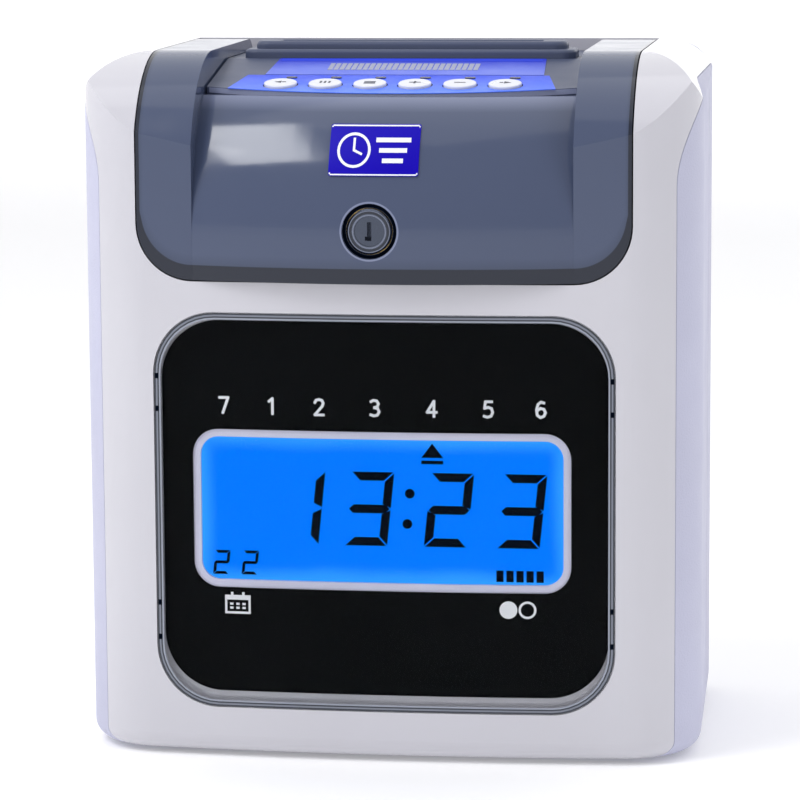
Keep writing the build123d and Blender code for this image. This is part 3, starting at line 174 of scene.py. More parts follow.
def moulded(name, color, low, high, grain, depth, drift, **sockets):
    """Plastic, rubber or ink: slight colour drift, uneven gloss, a fine grain."""
    s = Shader(name, **sockets)
    s.two_tone(s.noise(*DRIFT), shade(color, 1 - drift), shade(color, 1 + drift))
    s.rough(s.noise(*GLOSS), low, high)
    s.bump(s.noise(grain, 2), depth)
    return s.mat


def metal(name, color, low, high, stretch, grain, depth):
    """Plain or ground metal: streaks along one axis, uneven shine."""
    s = Shader(name, metallic=1.0)
    streaks = s.noise(grain, 4, s.mapped(Scale=stretch))
    s.two_tone(s.noise(30, 4), shade(color, 0.86), shade(color, 1.05))
    s.rough(streaks, low, high)
    s.bump(streaks, depth)
    return s.mat


def all_moulded(table):
    """One moulded material for each row: name, display colour, least and greatest roughness,
    scale of the grain, its depth in metres, share of colour drift, then shader sockets."""
    made = {}
    for slot, (name, color, low, high, grain, depth, drift, *sockets) in table.items():
        made[slot] = moulded(name, srgb(*color), low, high, grain, depth, drift, **dict(sockets))
    return made


# ------------------------------------------------------------------ plain materials
mats = all_moulded({
    "shell_white": ("white_gloss", (201, 200, 207), 0.10, 0.17, 500, 0.000006, 0.02,
                    ("Coat_Weight", 0.6), ("Coat_Roughness", 0.06)),
    "shell_grey_white": ("white_textured", (190, 191, 212), 0.42, 0.60, 1500, 0.00012, 0.04),
    "hood_grey": ("grey_satin", (76, 84, 108), 0.34, 0.44, 500, 0.000005, 0.05,
                  ("Specular_IOR_Level", 0.3)),
    "black_print": ("black_film", (4, 6, 8), 0.5, 0.6, 900, 0.000003, 0.2,
                    ("Specular_IOR_Level", 0.02)),
    "lavender_trim": ("lavender_satin", (214, 212, 232), 0.3, 0.42, 1200, 0.00001, 0.03),
    "white_diffuser": ("diffuser", (225, 230, 236), 0.5, 0.6, 3000, 0.00001, 0.05),
    "black_parts": ("black_moulded", (28, 28, 31), 0.35, 0.5, 1600, 0.00002, 0.15),
    "rubber": ("rubber_black", (30, 30, 31), 0.6, 0.8, 1400, 0.00004, 0.2),
    "roller_rubber": ("rubber_roller", (36, 36, 38), 0.55, 0.75, 2200, 0.00003, 0.2),
    "belt_rubber": ("rubber_belt", (24, 24, 25), 0.6, 0.75, 1000, 0.00003, 0.2),
    "gear_white": ("acetal", (226, 225, 216), 0.3, 0.42, 900, 0.00001, 0.04),
    "cartridge_black": ("cartridge", (34, 34, 38), 0.3, 0.45, 1300, 0.00002, 0.15),
    "battery_green": ("cell_wrap", (60, 140, 80), 0.25, 0.35, 300, 0.00001, 0.08),
    "key_white": ("key_cap", (222, 224, 232), 0.22, 0.32, 900, 0.000008, 0.02),
    "led_red": ("led_window", (20, 22, 60), 0.12, 0.2, 500, 0.000003, 0.1),
    "badge_blue": ("badge_blue_ink", (20, 0, 172), 0.3, 0.4, 700, 0.000003, 0.06,
                   ("Specular_IOR_Level", 0.12)),
})

ink = all_moulded({
    "lcd": ("lcd_ink", (4, 10, 22), 0.4, 0.5, 1500, 0.000002, 0.3, ("Specular_IOR_Level", 0.0)),
    "white": ("white_ink", (240, 241, 244), 0.4, 0.5, 1500, 0.000003, 0.02),
    "dark": ("dark_ink", (40, 44, 66), 0.35, 0.5, 1500, 0.000003, 0.1),
    "grey": ("grey_ink", (150, 155, 182), 0.35, 0.5, 1500, 0.000003, 0.1),
    "label_edge": ("label_edge", (36, 62, 214), 0.3, 0.4, 700, 0.000003, 0.06,
                   ("Specular_IOR_Level", 0.12)),
    # painted highlights and painted shade for the lock's barrel and the deck's front edge
    "edge_highlight": ("edge_highlight", (112, 119, 138), 0.2, 0.3, 700, 0.000003, 0.06),
    "deck_edge_highlight": ("deck_edge_highlight", (150, 157, 184), 0.35, 0.45, 700, 0.000003, 0.04),
    "edge_shade": ("edge_shade", (40, 45, 56), 0.2, 0.3, 700, 0.000003, 0.08),
    # the rim inks are painted shade and painted highlights for the clear lens's edge
    "rim_dark": ("rim_dark", (44, 49, 58), 0.15, 0.25, 700, 0.000003, 0.08),
    "rim_mid": ("rim_mid", (118, 123, 136), 0.12, 0.2, 700, 0.000003, 0.06),
    "rim_pale": ("rim_pale", (150, 156, 170), 0.12, 0.2, 700, 0.000003, 0.06),
})

# slot: name, display colour, least and greatest roughness, stretch of the streaks along each
# axis, their scale and their depth in metres
METALS = {
    "zinc_steel": ("zinc", (180, 182, 186), 0.25, 0.42, (1, 1, 12), 900, 0.000004),
    "bright_steel": ("ground_steel", (196, 197, 199), 0.14, 0.28, (1, 14, 14), 900, 0.000004),
    "motor_steel": ("motor_can", (168, 169, 172), 0.22, 0.36, (12, 12, 1), 900, 0.000004),
    "head_aluminium": ("cast_aluminium", (190, 190, 190), 0.35, 0.5, (1, 1, 1), 2200, 0.00003),
    "gear_brass": ("cut_brass", (204, 172, 98), 0.2, 0.34, (12, 1, 1), 900, 0.000004),
    "lock_chrome": ("lock_metal", (88, 94, 108), 0.12, 0.22, (6, 1, 1), 700, 0.000003),
}
for slot, (name, color, *rest) in METALS.items():
    mats[slot] = metal(name, srgb(*color), *rest)
mats["lock_brass"] = mats["gear_brass"]

# ------------------------------------------------------------------ materials with a pattern
lock_at = (middle("lock_plug", 0), middle("lock_plug", 2))


def hood_material(low, high):
    """Glossy grey moulding: a dark band of painted shade inside its outline, a paler lip of painted
    highlight along the top of its front and a pale ring of painted highlight round the lock's recess. All
    lengths are in metres."""
    corner = 0.0195
    shade_band_below, shade_band_beside, shade_band_rise = 0.0056, 0.0012, 0.004
    lip_half, lip_half_end = 0.0655, 0.0658
    lip_front, lip_back = -0.036, -0.034
    lip_low, lip_high = 0.2262, 0.2308
    ring_radius, ring_half = 0.00985, 0.00032

    s = Shader("hood_gloss", Coat_Weight=0.1, Coat_Roughness=0.05)
    x, y, z = s.axes()
    # how far a point lies inside the outline, whose lower corners are round
    across = s.math("MAXIMUM", s.math("SUBTRACT", s.math("ABSOLUTE", x), high[0] - corner), 0.0)
    down = s.math("MAXIMUM", s.math("SUBTRACT", low[2] + corner, z), 0.0)
    inside = s.math("SUBTRACT", corner, s.length(across, down))
    # the band of painted shade is wide along the bottom and thins out above the corners
    band = s.spread(z, shade_band_below, shade_band_beside, low[2] + shade_band_rise, low[2] + corner + shade_band_rise)
    share = s.math("ADD", s.math("DIVIDE", inside, band), s.spread(s.noise(*DRIFT), -0.02, 0.02))
    # painted shade: dark along the rounded lower edge and corners, then a slightly darker grey, then the
    # moulding's own grey further in
    ramp = s.two_tone(s.math("MULTIPLY", share, 0.5), srgb(26, 32, 47), srgb(63, 73, 97), 0.48, 0.505)
    upper = ramp.color_ramp.elements.new(1.0)
    upper.color = srgb(72, 82, 108)

    # painted highlight: a paler lip along the top of the hood's front
    between = s.spread(s.math("ABSOLUTE", x), 1, 0, lip_half, lip_half_end)
    front = s.spread(y, 1, 0, lip_front, lip_back)
    lip = s.math("MULTIPLY", s.spread(z, 0, 0.8, lip_low, lip_high), s.math("MULTIPLY", between, front))
    # painted highlight: a pale ring round the lock's recess
    dx = s.math("SUBTRACT", x, lock_at[0] * MM)
    dz = s.math("SUBTRACT", z, lock_at[1] * MM)
    lock_ring_highlight = s.math("COMPARE", s.length(dx, dz), ring_radius, ring_half)
    mix = s.node("ShaderNodeMix", data_type="RGBA")
    factor, first, highlight_colour, mixed = mix.inputs[0], mix.inputs[6], mix.inputs[7], mix.outputs[2]
    s.link(s.math("MAXIMUM", lip, lock_ring_highlight), factor)
    s.link(ramp.outputs["Color"], first)
    # the pale grey of the painted highlights on the lip and round the lock's recess
    highlight_colour.default_value = srgb(124, 132, 160)
    s.link(mixed, s.bsdf.inputs["Base Color"])
    s.rough(s.noise(*GLOSS), 0.10, 0.17)
    s.bump(s.noise(500, 2), 0.000005)
    return s.mat


def board_material():
    """Solder-masked board with faint tracks."""
    s = Shader("circuit_board")
    tracks = s.node("ShaderNodeTexBrick")
    tracks.inputs["Scale"].default_value = 60
    tracks.inputs["Mortar Size"].default_value = 0.03
    tracks.inputs["Color1"].default_value = srgb(20, 92, 52)
    tracks.inputs["Color2"].default_value = srgb(24, 104, 58)
    tracks.inputs["Mortar"].default_value = srgb(52, 132, 78)
    s.link(s.mapped(Rotation=(math.pi / 2, 0, 0)), tracks.inputs["Vector"])
    s.link(tracks.outputs["Color"], s.bsdf.inputs["Base Color"])
    s.rough(s.noise(80), 0.25, 0.4)
    s.bump(tracks.outputs["Fac"], 0.00003)
    return s.mat


def label_material(name, front, rear, start, end):
    """Printed film on the deck, whose blue changes from start to end, in metres toward the rear."""
    s = Shader(name, Specular_IOR_Level=0.12)
    toward_rear = s.axes()[1]
    run = s.math("ADD", s.spread(toward_rear, 0, 1, start, end), s.spread(s.noise(70, 3), -0.12, 0.12))
    s.two_tone(run, front, rear, 0.0, 1.0)
    s.rough(s.noise(120), 0.28, 0.4)
    s.bump(s.noise(2500, 2), 0.00001)
    return s.mat


def ribbon_material():
    """Inked fabric with a fine weave."""
    s = Shader("inked_ribbon", 0.8)
    weave = s.node("ShaderNodeTexWave", wave_type="BANDS", bands_direction="X")
    weave.inputs["Scale"].default_value = 900
    s.link(s.coord, weave.inputs["Vector"])
    s.two_tone(weave.outputs["Fac"], srgb(30, 10, 34), srgb(60, 20, 60))
    s.bump(weave.outputs["Fac"], 0.00003)
    return s.mat


def lens_material():
    """Clear moulding of the window, with a faint unevenness of tint."""
    s = Shader("clear_moulding", 0.0, Transmission_Weight=1.0, IOR=1.08)
    s.two_tone(s.noise(12, 2), (0.93, 0.95, 0.96, 1), (0.98, 0.985, 0.99, 1))
    return s.mat


def display_material(low, high):
    """The lit display: deep blue, a little lighter along its edges. Lengths are in metres."""
    glow_start, glow_end, corner_blend = 0.0006, 0.007, 0.004
    s = Shader("lit_display", 0.35, Specular_IOR_Level=0.0)
    x, _, z = s.axes()

    def from_edge(value, a, b):
        """How far value lies inside the nearer of the two edges a and b."""
        return s.math("SUBTRACT", (b - a) / 2, s.math("ABSOLUTE", s.math("SUBTRACT", value, (a + b) / 2)))

    beside, along = from_edge(x, low[0], high[0]), from_edge(z, low[2], high[2])
    near = s.math("SMOOTH_MIN", beside, along, corner_blend)
    near = s.math("ADD", near, s.spread(s.noise(30, 2), -0.0008, 0.0008))
    s.bsdf.inputs["Base Color"].default_value = (0.0, 0.02, 0.08, 1)
    ramp = s.two_tone(s.spread(near, 0, 1, glow_start, glow_end),
                      srgb(48, 156, 255), srgb(0, 118, 255), 0.0, 1.0, "Emission Color")
    ramp.color_ramp.interpolation = "EASE"
    s.bsdf.inputs["Emission Strength"].default_value = 1.0
    s.bump(s.noise(400, 2), 0.000003)
    return s.mat


mats["green_board"] = board_material()
mats["label_blue"] = label_material("label_front", srgb(96, 136, 255), srgb(48, 80, 226), -0.045, -0.02)
mats["ribbon_fabric"] = ribbon_material()
mats["clear_lens"] = lens_material()
mats["blue_display"] = display_material(*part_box("lcd_glass"))

# nodes that look different from the rest of their slot
own_look = {
    "rear_label": label_material("label_rear", srgb(104, 122, 226), srgb(40, 58, 200), -0.012, 0.002),
    "hood": hood_material(*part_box("hood")),
}
for part in frame["record"]["subparts"]:
    surfaces = nodes[part["node"]].data.materials
    surfaces.clear()
    surfaces.append(own_look.get(part["node"], mats[part["material_slot"]]))


# ------------------------------------------------------------------ flat marks on surfaces
def surface_of(node):
    """The node's own surface, for laying marks on it."""
    mesh = nodes[node].data
    corners = [v.co.copy() for v in mesh.vertices]
    return BVHTree.FromPolygons(corners, [list(p.vertices) for p in mesh.polygons])


def front_view(x, z):
    """A ray that starts before the machine and looks back at x, z."""
    return Vector((x, -0.5, z)), Vector((0, 1, 0))


def top_view(x, y):
    """A ray that starts above the machine and looks down at x, y."""
    return Vector((x, y, 0.6)), Vector((0, 0, -1))


FALLBACK_REACH = 0.44       # where the nearest surface is looked for, along a ray that hits none
PRINT_LIFT = 0.00003        # usual room between a print and the surface under it, in metres
PRINT_THICK = 0.00004       # usual thickness of a print, in metres


def split_across(bm, cell):
    """Cuts flat shapes into strips about cell wide, so that they can follow a curve."""
    us = [v.co.x for v in bm.verts]
    left, right = min(us), max(us)
    cuts = int((right - left) / cell)
    for i in range(1, cuts + 1):
        at = left + i * (right - left) / (cuts + 1)
        bmesh.ops.bisect_plane(bm, geom=bm.verts[:] + bm.edges[:] + bm.faces[:],
                               plane_co=(at, 0, 0), plane_no=(1, 0, 0))


def lay_marks(name, polygons, node, look, material, body, lift=PRINT_LIFT, thick=PRINT_THICK, cell=0.0):
    """Thin printed shapes on a node's surface, seen from look. The polygons and cell are in
    mm. Lift above the surface and thick are in metres."""
    tree = surface_of(node)
    bm = bmesh.new()
    for polygon in polygons:
        face = bm.faces.new([bm.verts.new((u, v, 0)) for u, v in polygon])
        if face.normal.z < 0:
            face.normal_flip()
    if cell:
        split_across(bm, cell)
    bmesh.ops.triangulate(bm, faces=bm.faces[:])
    for v in bm.verts[:]:
        start, ray = look(v.co.x * MM, v.co.y * MM)
        hit = tree.ray_cast(start, ray)[0]
        if hit is None:
            hit = tree.find_nearest(start + ray * FALLBACK_REACH)[0]
        v.co = hit - ray * lift
    made = bmesh.ops.extrude_face_region(bm, geom=bm.faces[:])
    away = -look(0, 0)[1]
    for v in [g for g in made["geom"] if isinstance(g, bmesh.types.BMVert)]:
        v.co += away * thick
    bmesh.ops.recalc_face_normals(bm, faces=bm.faces[:])
    mesh = bpy.data.meshes.new(name)
    bm.to_mesh(mesh)
    bm.free()
    obj = bpy.data.objects.new(name, mesh)
    bpy.context.scene.collection.objects.link(obj)
    mesh.materials.append(material)
    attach(obj, body)


def bar(u, v, w, h):
    """An upright rectangle centred on u, v."""
    return [(u - w / 2, v - h / 2), (u + w / 2, v - h / 2), (u + w / 2, v + h / 2), (u - w / 2, v + h / 2)]


def disc(u, v, r, n=24):
    """A full spot with n corners."""
    angles = [2 * math.pi * i / n for i in range(n)]
    return [(u + r * math.cos(t), v + r * math.sin(t)) for t in angles]


def ring(u, v, r, width, n=32):
    """Quads of a ring whose outer radius is r."""
    out = []
    for i in range(n):
        a, b = 2 * math.pi * i / n, 2 * math.pi * (i + 1) / n
        out.append([(u + rr * math.cos(t), v + rr * math.sin(t))
                    for rr, t in ((r - width, a), (r, a), (r, b), (r - width, b))])
    return out


def stroke(points, width):
    """A line of even width through the points: one quad for each run, a little longer than it."""
    out = []
    past = width * 0.35
    for (x0, y0), (x1, y1) in zip(points, points[1:]):
        length = math.hypot(x1 - x0, y1 - y0)
        ux, uy = (x1 - x0) / length, (y1 - y0) / length
        px, py = -uy * width / 2, ux * width / 2
        x0, y0 = x0 - ux * past, y0 - uy * past
        x1, y1 = x1 + ux * past, y1 + uy * past
        out.append([(x0 - px, y0 - py), (x1 - px, y1 - py), (x1 + px, y1 + py), (x0 + px, y0 + py)])
    return out


# which of the segments a-g each figure of the display lights
SEGMENTS = {"1": "bc", "2": "abged", "3": "abgcd"}


def seven_segment(figure, left, bottom, wide, high, bar_width):
    """Polygons of one seven-segment figure with bevelled, slanted segments."""
    slant = math.tan(math.radians(6))
    w, h, t = wide, high, bar_width
    g = t * 0.12            # the gap between segments
    m = h / 2
    shapes = {
        "a": [(g, h), (w - g, h), (w - t - g, h - t), (t + g, h - t)],
        "d": [(g, 0), (w - g, 0), (w - t - g, t), (t + g, t)],
        "b": [(w, h - g), (w - t, h - t - g), (w - t, m + t / 2 + g), (w, m + g)],
        "e": [(0, g), (t, t + g), (t, m - t / 2 - g), (0, m - g)],
        "c": [(w, g), (w - t, t + g), (w - t, m - t / 2 - g), (w, m - g)],
        "g": [(g, m), (t / 2 + g, m + t / 2), (w - t / 2 - g, m + t / 2), (w - g, m),
              (w - t / 2 - g, m - t / 2), (t / 2 + g, m - t / 2)],
    }
    return [[(left + x + slant * y, bottom + y) for x, y in shapes[s]] for s in SEGMENTS[figure]]


def rounded_ring(low, high, radius, inset, width):
    """Quads of a band that runs round a rounded rectangle, inset from its edge."""
    step = 6.0              # longest quad
    centre = ((low[0] + high[0]) / 2, (low[1] + high[1]) / 2)
    straight = ((high[0] - low[0]) / 2 - radius, (high[1] - low[1]) / 2 - radius)
    spine = []
    for quarter, (sx, sy) in enumerate(((1, 1), (-1, 1), (-1, -1), (1, -1))):
        for i in range(11):
            angle = math.radians(90 * quarter + 9 * i)
            spine.append((centre[0] + sx * straight[0], centre[1] + sy * straight[1],
                          math.cos(angle), math.sin(angle)))
    dense = []
    for a, b in zip(spine, spine[1:] + spine[:1]):
        pieces = max(1, int(math.hypot(b[0] - a[0], b[1] - a[1]) / step))
        dense += [tuple(p + (q - p) * i / pieces for p, q in zip(a, b)) for i in range(pieces)]
    outer, inner = radius - inset, radius - inset - width
    quads = []
    for a, b in zip(dense, dense[1:] + dense[:1]):
        quads.append([(p[0] + r * p[2], p[1] + r * p[3])
                      for p, r in ((a, inner), (a, outer), (b, outer), (b, inner))])
    return quads


# ------------------------------------------------------------------ window rim
RIM_RADIUS = 21.7
CLIP_HEIGHTS = (42.5, 54.8, 123.5, 135.0)

lens_low, lens_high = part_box("window_lens")
rim_low, rim_high = (lens_low[0] / MM, lens_low[2] / MM), (lens_high[0] / MM, lens_high[2] / MM)
# painted shade and painted highlights round the clear lens's edge: a shadow line, a mid grey sheen, a dark
# line and a pale highlight
# name, inset from the edge, width, ink
for name, inset, width, look in (("rim_shadow", 0.05, 0.55, "rim_dark"), ("rim_painted_sheen", 0.6, 0.6, "rim_mid"),
                                 ("rim_painted_dark_line", 1.2, 0.5, "rim_dark"), ("rim_light", 1.7, 0.55, "rim_pale")):
    band = rounded_ring(rim_low, rim_high, RIM_RADIUS, inset, width)
    lay_marks(name, band, "window_lens", front_view, ink[look], "case", lift=0.00002, thick=0.00003)
# the clips lie on top of the bands
clips = [bar(sign * (rim_high[0] - 0.95), z, 1.3, 1.9) for sign in (-1, 1) for z in CLIP_HEIGHTS]
lay_marks("rim_clips", clips, "window_lens", front_view, ink["lcd"], "case", lift=0.00006, thick=0.00003)

# ------------------------------------------------------------------ display
# positions across are measured from the display's left edge
DISPLAY_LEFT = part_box("lcd_bezel")[0][0] / MM + 1.2
TIME_FIGURES = (("1", 28.3), ("3", 52.5), ("2", 80.4), ("3", 105.8))
TIME_BOTTOM, TIME_WIDE, TIME_HIGH, TIME_BAR = 75.7, 15.0, 26.0, 3.0
COLON = ((75.6, 94.3), (74.7, 83.6))
DATE_LEFTS = (5.9, 16.0)
DATE_BOTTOM, DATE_WIDE, DATE_HIGH, DATE_BAR = 64.6, 5.4, 8.5, 1.0

display = []
for figure, left in TIME_FIGURES:
    display += seven_segment(figure, DISPLAY_LEFT + left, TIME_BOTTOM, TIME_WIDE, TIME_HIGH, TIME_BAR)
display += [disc(DISPLAY_LEFT + left, height, 1.7) for left, height in COLON]
# the arrow that points at the day
arrow = DISPLAY_LEFT + 83.5
display += [[(arrow - 3.8, 107.0), (arrow + 3.8, 107.0), (arrow, 112.0)], bar(arrow, 105.4, 7.6, 1.2)]
for left in DATE_LEFTS:
    display += seven_segment("2", DISPLAY_LEFT + left, DATE_BOTTOM, DATE_WIDE, DATE_HIGH, DATE_BAR)
# ink level: five small blocks
display += [bar(DISPLAY_LEFT + 107.0 + 3.5 * i, 65.8, 2.5, 4.0) for i in range(5)]
lay_marks("display_figures", display, "lcd_glass", front_view, ink["lcd"], "case", lift=0.0002, thick=0.0002)

# ------------------------------------------------------------------ signs on the black mask
# plain stroked figures, 1 wide and 1.6 high
STROKED = {
    "1": [(0.22, 1.28), (0.6, 1.6), (0.6, 0)],
    "2": [(0.05, 1.25), (0.2, 1.52), (0.5, 1.6), (0.8, 1.5), (0.93, 1.2), (0.82, 0.9), (0.05, 0), (0.97, 0)],
    "3": [(0.08, 1.45), (0.35, 1.6), (0.7, 1.55), (0.88, 1.25), (0.75, 0.95), (0.45, 0.85), (0.8, 0.75),
          (0.95, 0.42), (0.75, 0.08), (0.4, 0), (0.05, 0.12)],
    "4": [(0.72, 0), (0.72, 1.6), (0.02, 0.45), (1.0, 0.45)],
    "5": [(0.88, 1.6), (0.22, 1.6), (0.12, 0.92), (0.5, 1.02), (0.82, 0.9), (0.95, 0.5), (0.78, 0.12),
          (0.42, 0), (0.05, 0.12)],
    "6": [(0.82, 1.5), (0.5, 1.6), (0.2, 1.35), (0.05, 0.8), (0.12, 0.25), (0.45, 0), (0.8, 0.15),
          (0.95, 0.5), (0.8, 0.85), (0.45, 0.95), (0.12, 0.7)],
    "7": [(0.05, 1.6), (0.97, 1.6), (0.4, 0)],
}
STROKED_MIDDLE = (0.5, 0.8)
DAY_PLACES = zip("7123456", (-56.0, -39.0, -22.2, -2.7, 17.1, 36.6, 54.7))
DAY_HEIGHT, DAY_SIZE, DAY_LINE = 124.8, 5.4, 0.95
SIGN_HEIGHT = 54.6          # of the two signs below the display
CALENDAR_X, SPOTS_X = -51.8, 46.4


def stroked(figure, u, v, size, width):
    """Polygons of one plain figure, size high, centred on u, v."""
    k = size / 1.6
    points = [(u + (x - STROKED_MIDDLE[0]) * k, v + (y - STROKED_MIDDLE[1]) * k) for x, y in STROKED[figure]]
    return stroke(points, width)


def calendar(x, z):
    """A page with two hangers and six days."""
    shapes = []
    for side in (-1, 1):
        shapes += [bar(x + side * 4.2, z - 0.2, 0.8, 6.6), bar(x + side * 2.0, z + 3.4, 0.9, 1.6)]
    shapes += [bar(x, z - 3.1, 9.2, 0.8), bar(x, z + 2.3, 9.2, 1.7)]
    shapes += [bar(x - 2.2 + 2.2 * i, z - 1.4 * j, 1.2, 0.8) for i in range(3) for j in range(2)]
    return shapes


def two_spots(x, z):
    """A full spot and a ring, for the two ribbon colours."""
    return [disc(x - 3.0, z, 3.1, 28)] + ring(x + 3.6, z, 3.1, 0.8)


marks = []
for figure, x in DAY_PLACES:
    marks += stroked(figure, x, DAY_HEIGHT, DAY_SIZE, DAY_LINE)
marks += calendar(CALENDAR_X, SIGN_HEIGHT) + two_spots(SPOTS_X, SIGN_HEIGHT)
lay_marks("window_marks", marks, "window_mask", front_view, ink["white"], "case")


# ------------------------------------------------------------------ badge and lock
def badge_shapes():
    """A border, a clock face with two hands, and three bars of falling length."""
    x, z = middle("badge_plate", 0), middle("badge_plate", 2)
    half_wide, half_high = half("badge_plate", 0), half("badge_plate", 2)
    line, short = 0.45, 1.2
    clock_x = x - 7.0
    shapes = [bar(x, z + s * (half_high - line), 2 * half_wide - short, line) for s in (-1, 1)]
    shapes += [bar(x + s * (half_wide - line), z, line, 2 * half_high - short) for s in (-1, 1)]
    shapes += ring(clock_x, z, 5.8, 0.9)
    shapes += stroke([(clock_x, z + 3.8), (clock_x, z), (x - 4.4, z - 1.2)], 0.8)
    shapes += [bar(x + 6.5, z + 3.4 - 3.4 * i, 12.0 - 2.4 * i, 1.5) for i in range(3)]
    return shapes


lay_marks("badge_marks", badge_shapes(), "badge_plate", front_view, ink["white"], "hood",
          thick=0.00006, cell=2.0)
# painted shade in the lock's recess and on its barrel, and painted highlights as pale rings on the barrel
# name, node, ink, outer radius and width of each ring
for name, node, look, rings in (
    ("lock_recess_shade", "hood", "lcd", ((9.4, 1.2),)),
    ("lock_painted_highlights", "lock_barrel", "edge_highlight", ((7.2, 0.25), (5.9, 0.5))),
    ("lock_shades", "lock_barrel", "edge_shade", ((6.9, 0.8),)),
):
    shapes = [quad for radius, width in rings for quad in ring(*lock_at, radius, width)]
    lay_marks(name, shapes, node, front_view, ink[look], "hood")

# ------------------------------------------------------------------ rear label
RIB_COUNT, RIB_PITCH, RIB_WIDE, RIB_LONG = 26, 2.08, 1.7, 9.5
RIBS_LEFT, RIBS_FORWARD = 27.5, 0.6         # of the first rib, from the label's middle
BAND_FORWARD, BAND_LONG, BAND_WIDE = 2.4, 94.0, 4.0     # the deep blue band at the label's rear

label_x, label_y = middle("rear_label", 0), middle("rear_label", 1)
label_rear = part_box("rear_label")[1][1] / MM
ribs = [bar(label_x - RIBS_LEFT + RIB_PITCH * i, label_y - RIBS_FORWARD, RIB_WIDE, RIB_LONG)
        for i in range(RIB_COUNT)]
lay_marks("rear_label_ribs", ribs, "rear_label", top_view, ink["grey"], "case", thick=0.00008)
rear_band = [bar(label_x, label_rear - BAND_FORWARD, BAND_LONG, BAND_WIDE)]
lay_marks("rear_label_lines", rear_band, "rear_label", top_view, ink["label_edge"], "case", thick=0.00006)

# ------------------------------------------------------------------ keys
# left arrow, upright bars, list, plus, minus, right arrow
KEY_SIGNS = [
    [[(-2.6, 0), (0.4, 1.7), (0.4, -1.7)], bar(1.6, 0, 1.6, 1.0)],
    [bar(-1.9, 0, 0.9, 3.2), bar(0, 0, 0.9, 3.2), bar(1.9, 0, 0.9, 3.2)],
    [bar(0, 1.1, 5.0, 0.8), bar(0, -0.5, 5.0, 0.8), bar(0, -2.1, 5.0, 0.8)],
    [bar(0, 0, 5.0, 0.9), bar(0, 0, 0.9, 3.6)],
    [bar(0, 0, 5.0, 0.9)],
    [[(2.6, 0), (-0.4, 1.7), (-0.4, -1.7)], bar(-1.6, 0, 1.6, 1.0)],
]
SIGN_SCALE = 0.8
SIGN_FORWARD = 0.6          # the box's middle is behind the middle of the cap's top

for number, sign in enumerate(KEY_SIGNS, start=1):
    key = f"key_{number}"
    kx, ky = middle(key, 0), middle(key, 1) - SIGN_FORWARD
    placed = [[(kx + SIGN_SCALE * u, ky + SIGN_SCALE * v) for u, v in polygon] for polygon in sign]
    lay_marks(f"key_sign_{number}", placed, key, top_view, ink["dark"], key, thick=0.00005)

# ------------------------------------------------------------------ deck's front edge
LIP_HALF, LIP_CELLS = 64.5, 48
LIP_BELOW, LIP_ABOVE = 2.0, 0.2     # the painted highlight's edges, down from the deck's top


def lip_height(x):
    """Height of the top of the deck's bowed front edge, which rises toward its ends."""
    datum, slope, axis, radius = 231.5, 0.1792, 235.0, 232.7
    return datum + slope * (axis - math.sqrt(radius ** 2 - x * x))


# painted highlight: a pale strip along the deck's front edge, which lies in shade
lip = []
for i in range(LIP_CELLS):
    x0, x1 = [-LIP_HALF + 2 * LIP_HALF * j / LIP_CELLS for j in (i, i + 1)]
    lip.append([(x0, lip_height(x0) - LIP_BELOW), (x1, lip_height(x1) - LIP_BELOW),
                (x1, lip_height(x1) - LIP_ABOVE), (x0, lip_height(x0) - LIP_ABOVE)])
lay_marks("deck_front_highlight", lip, "control_deck", front_view, ink["deck_edge_highlight"], "case")

# ------------------------------------------------------------------ camera
CAMERA_TARGET = (9.2, -85, 131.1)                           # mm
CAMERA_AZIMUTH, CAMERA_ELEVATION, CAMERA_ROLL = 8, 8.5, -0.35   # degrees
CAMERA_DISTANCE = 1.279
FOCAL_PIXELS, PICTURE_PIXELS, SENSOR_WIDTH = 3778, 800, 36


def studio_camera():
    """The camera, placed and turned as the photograph was taken."""
    azimuth, elevation, roll = [math.radians(a) for a in (CAMERA_AZIMUTH, CAMERA_ELEVATION, CAMERA_ROLL)]
    back = Vector((math.sin(azimuth) * math.cos(elevation), -math.cos(azimuth) * math.cos(elevation),
                   math.sin(elevation)))
    forward = -back
    right = forward.cross(Vector((0, 0, 1))).normalized()
    up = right.cross(forward)
    x_axis = right * math.cos(roll) + up * math.sin(roll)
    y_axis = up * math.cos(roll) - right * math.sin(roll)
    cam = bpy.data.objects.new("camera", bpy.data.cameras.new("camera"))
    cam.data.lens = FOCAL_PIXELS * SENSOR_WIDTH / PICTURE_PIXELS
    cam.data.sensor_width = SENSOR_WIDTH
    cam.data.clip_end = 60
    place = Matrix((x_axis, y_axis, back)).transposed().to_4x4()
    place.translation = Vector(CAMERA_TARGET) * MM + back * CAMERA_DISTANCE
    cam.matrix_world = place
    bpy.context.scene.collection.objects.link(cam)
    bpy.context.scene.camera = cam


# ------------------------------------------------------------------ floor, sky and lamps
LAMP_DATUM = 0.1            # height that lamps are placed around
SKY_STRENGTH = 1.08
FLOOR_GLOW = 0.16
FLOOR_HALF = 14.0
FLOOR_CURVE = ((-FLOOR_HALF, 0.0), (3.0, 0.0), (4.5, 0.08), (6.0, 0.4), (7.5, 1.1), (8.6, 2.4), (9.0, 5.0))


def around(azimuth, elevation, far):
    """A place that far from the machine, azimuth degrees right of its front."""
    a, e = math.radians(azimuth), math.radians(elevation)
    x, y = far * math.sin(a) * math.cos(e), -far * math.cos(a) * math.cos(e)
    return (x, y, far * math.sin(e) + LAMP_DATUM)


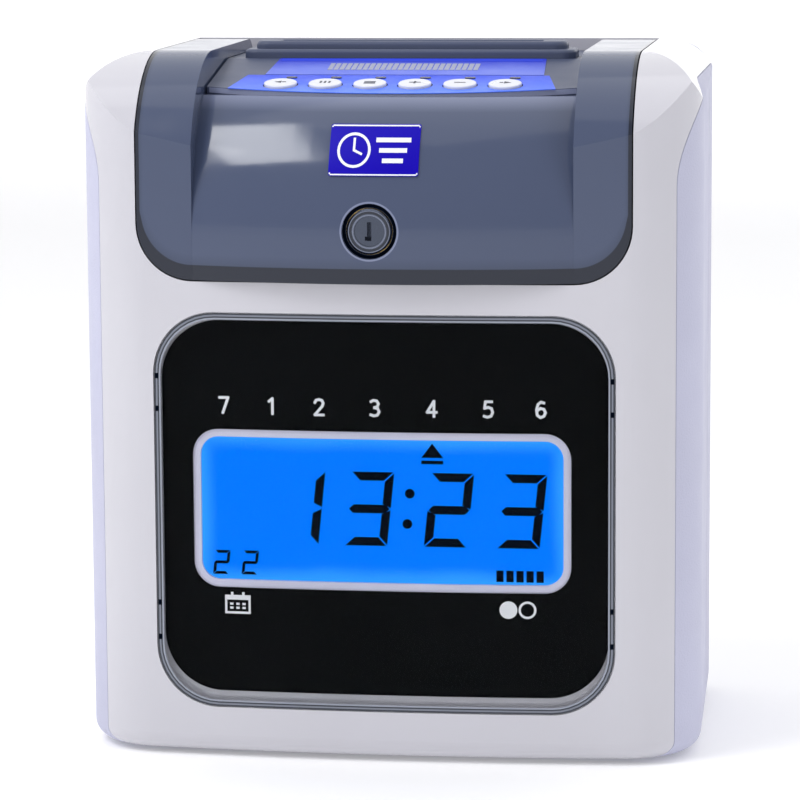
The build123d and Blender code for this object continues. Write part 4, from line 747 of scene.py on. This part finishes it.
# name, place, the point it faces, width, height, watts, turn about its own axis in radians
LAMPS = (
    ("left_box", around(-58, 28, 1.6), (0, 0, 0.12), 0.6, 1.3, 4.5, 0.0),
    ("crown_box", around(-45, 54, 1.5), (0, 0, 0.2), 0.36, 0.7, 6.5, 0.7),
    ("right_box", around(62, 24, 1.5), (0, 0, 0.12), 0.5, 1.2, 2, 0.0),
    ("top_box", (0.1, -0.1, 1.5), (0, 0, 0.1), 1.2, 0.9, 2, 0.0),
    ("back_wash", (0.0, 3.2, 3.4), (0, 8.2, 1.2), 8.0, 1.5, 160, 0.0),
)


def soft_box(name, place, aim, wide, high, power, turn):
    """A rectangular lamp."""
    light = bpy.data.lights.new(name, "AREA")
    light.shape = "RECTANGLE"
    light.size, light.size_y = wide, high
    light.energy = power
    obj = bpy.data.objects.new(name, light)
    obj.location = place
    facing = (Vector(aim) - Vector(place)).to_track_quat("-Z", "Y").to_matrix()
    obj.rotation_euler = (facing @ Matrix.Rotation(turn, 3, "Z")).to_euler()
    bpy.context.scene.collection.objects.link(obj)


def studio_floor():
    """A white sweep that rises far behind the machine."""
    bm = bmesh.new()
    rows = [[bm.verts.new((x, y, z)) for x in (-FLOOR_HALF, FLOOR_HALF)] for y, z in FLOOR_CURVE]
    for a, b in zip(rows, rows[1:]):
        bm.faces.new((a[0], a[1], b[1], b[0]))
    mesh = bpy.data.meshes.new("studio_floor")
    bm.to_mesh(mesh)
    bm.free()
    for p in mesh.polygons:
        p.use_smooth = True
    floor = bpy.data.objects.new("studio_floor", mesh)
    bpy.context.scene.collection.objects.link(floor)
    s = Shader("studio_floor", 0.75, Emission_Color=(1, 1, 1, 1), Emission_Strength=FLOOR_GLOW)
    s.two_tone(s.noise(0.8, 2), (0.90, 0.90, 0.905, 1), (0.93, 0.93, 0.935, 1))
    s.bump(s.noise(300, 2), 0.00005)
    mesh.materials.append(s.mat)


def studio_sky():
    """Light from all round, dimmer from the front than from behind."""
    world = bpy.data.worlds.new("studio")
    world.use_nodes = True
    bpy.context.scene.world = world
    tree = world.node_tree
    coord = tree.nodes.new("ShaderNodeTexCoord")
    split = tree.nodes.new("ShaderNodeSeparateXYZ")
    ramp = tree.nodes.new("ShaderNodeValToRGB")
    front, rear = ramp.color_ramp.elements
    front.position, front.color = 0.32, (0.44, 0.44, 0.47, 1)
    rear.position, rear.color = 0.62, (1.0, 1.0, 1.0, 1)
    # carries -1 to 1 over into 0 to 1
    shift = tree.nodes.new("ShaderNodeMath")
    shift.operation = "MULTIPLY_ADD"
    shift.inputs[1].default_value = 0.5
    shift.inputs[2].default_value = 0.5
    tree.links.new(coord.outputs["Generated"], split.inputs["Vector"])
    tree.links.new(split.outputs["Y"], shift.inputs[0])
    tree.links.new(shift.outputs["Value"], ramp.inputs["Fac"])
    background = tree.nodes["Background"]
    tree.links.new(ramp.outputs["Color"], background.inputs["Color"])
    background.inputs["Strength"].default_value = SKY_STRENGTH


studio_camera()
studio_floor()
studio_sky()
for lamp in LAMPS:
    soft_box(*lamp)
bpy.context.scene.view_settings.view_transform = "Standard"
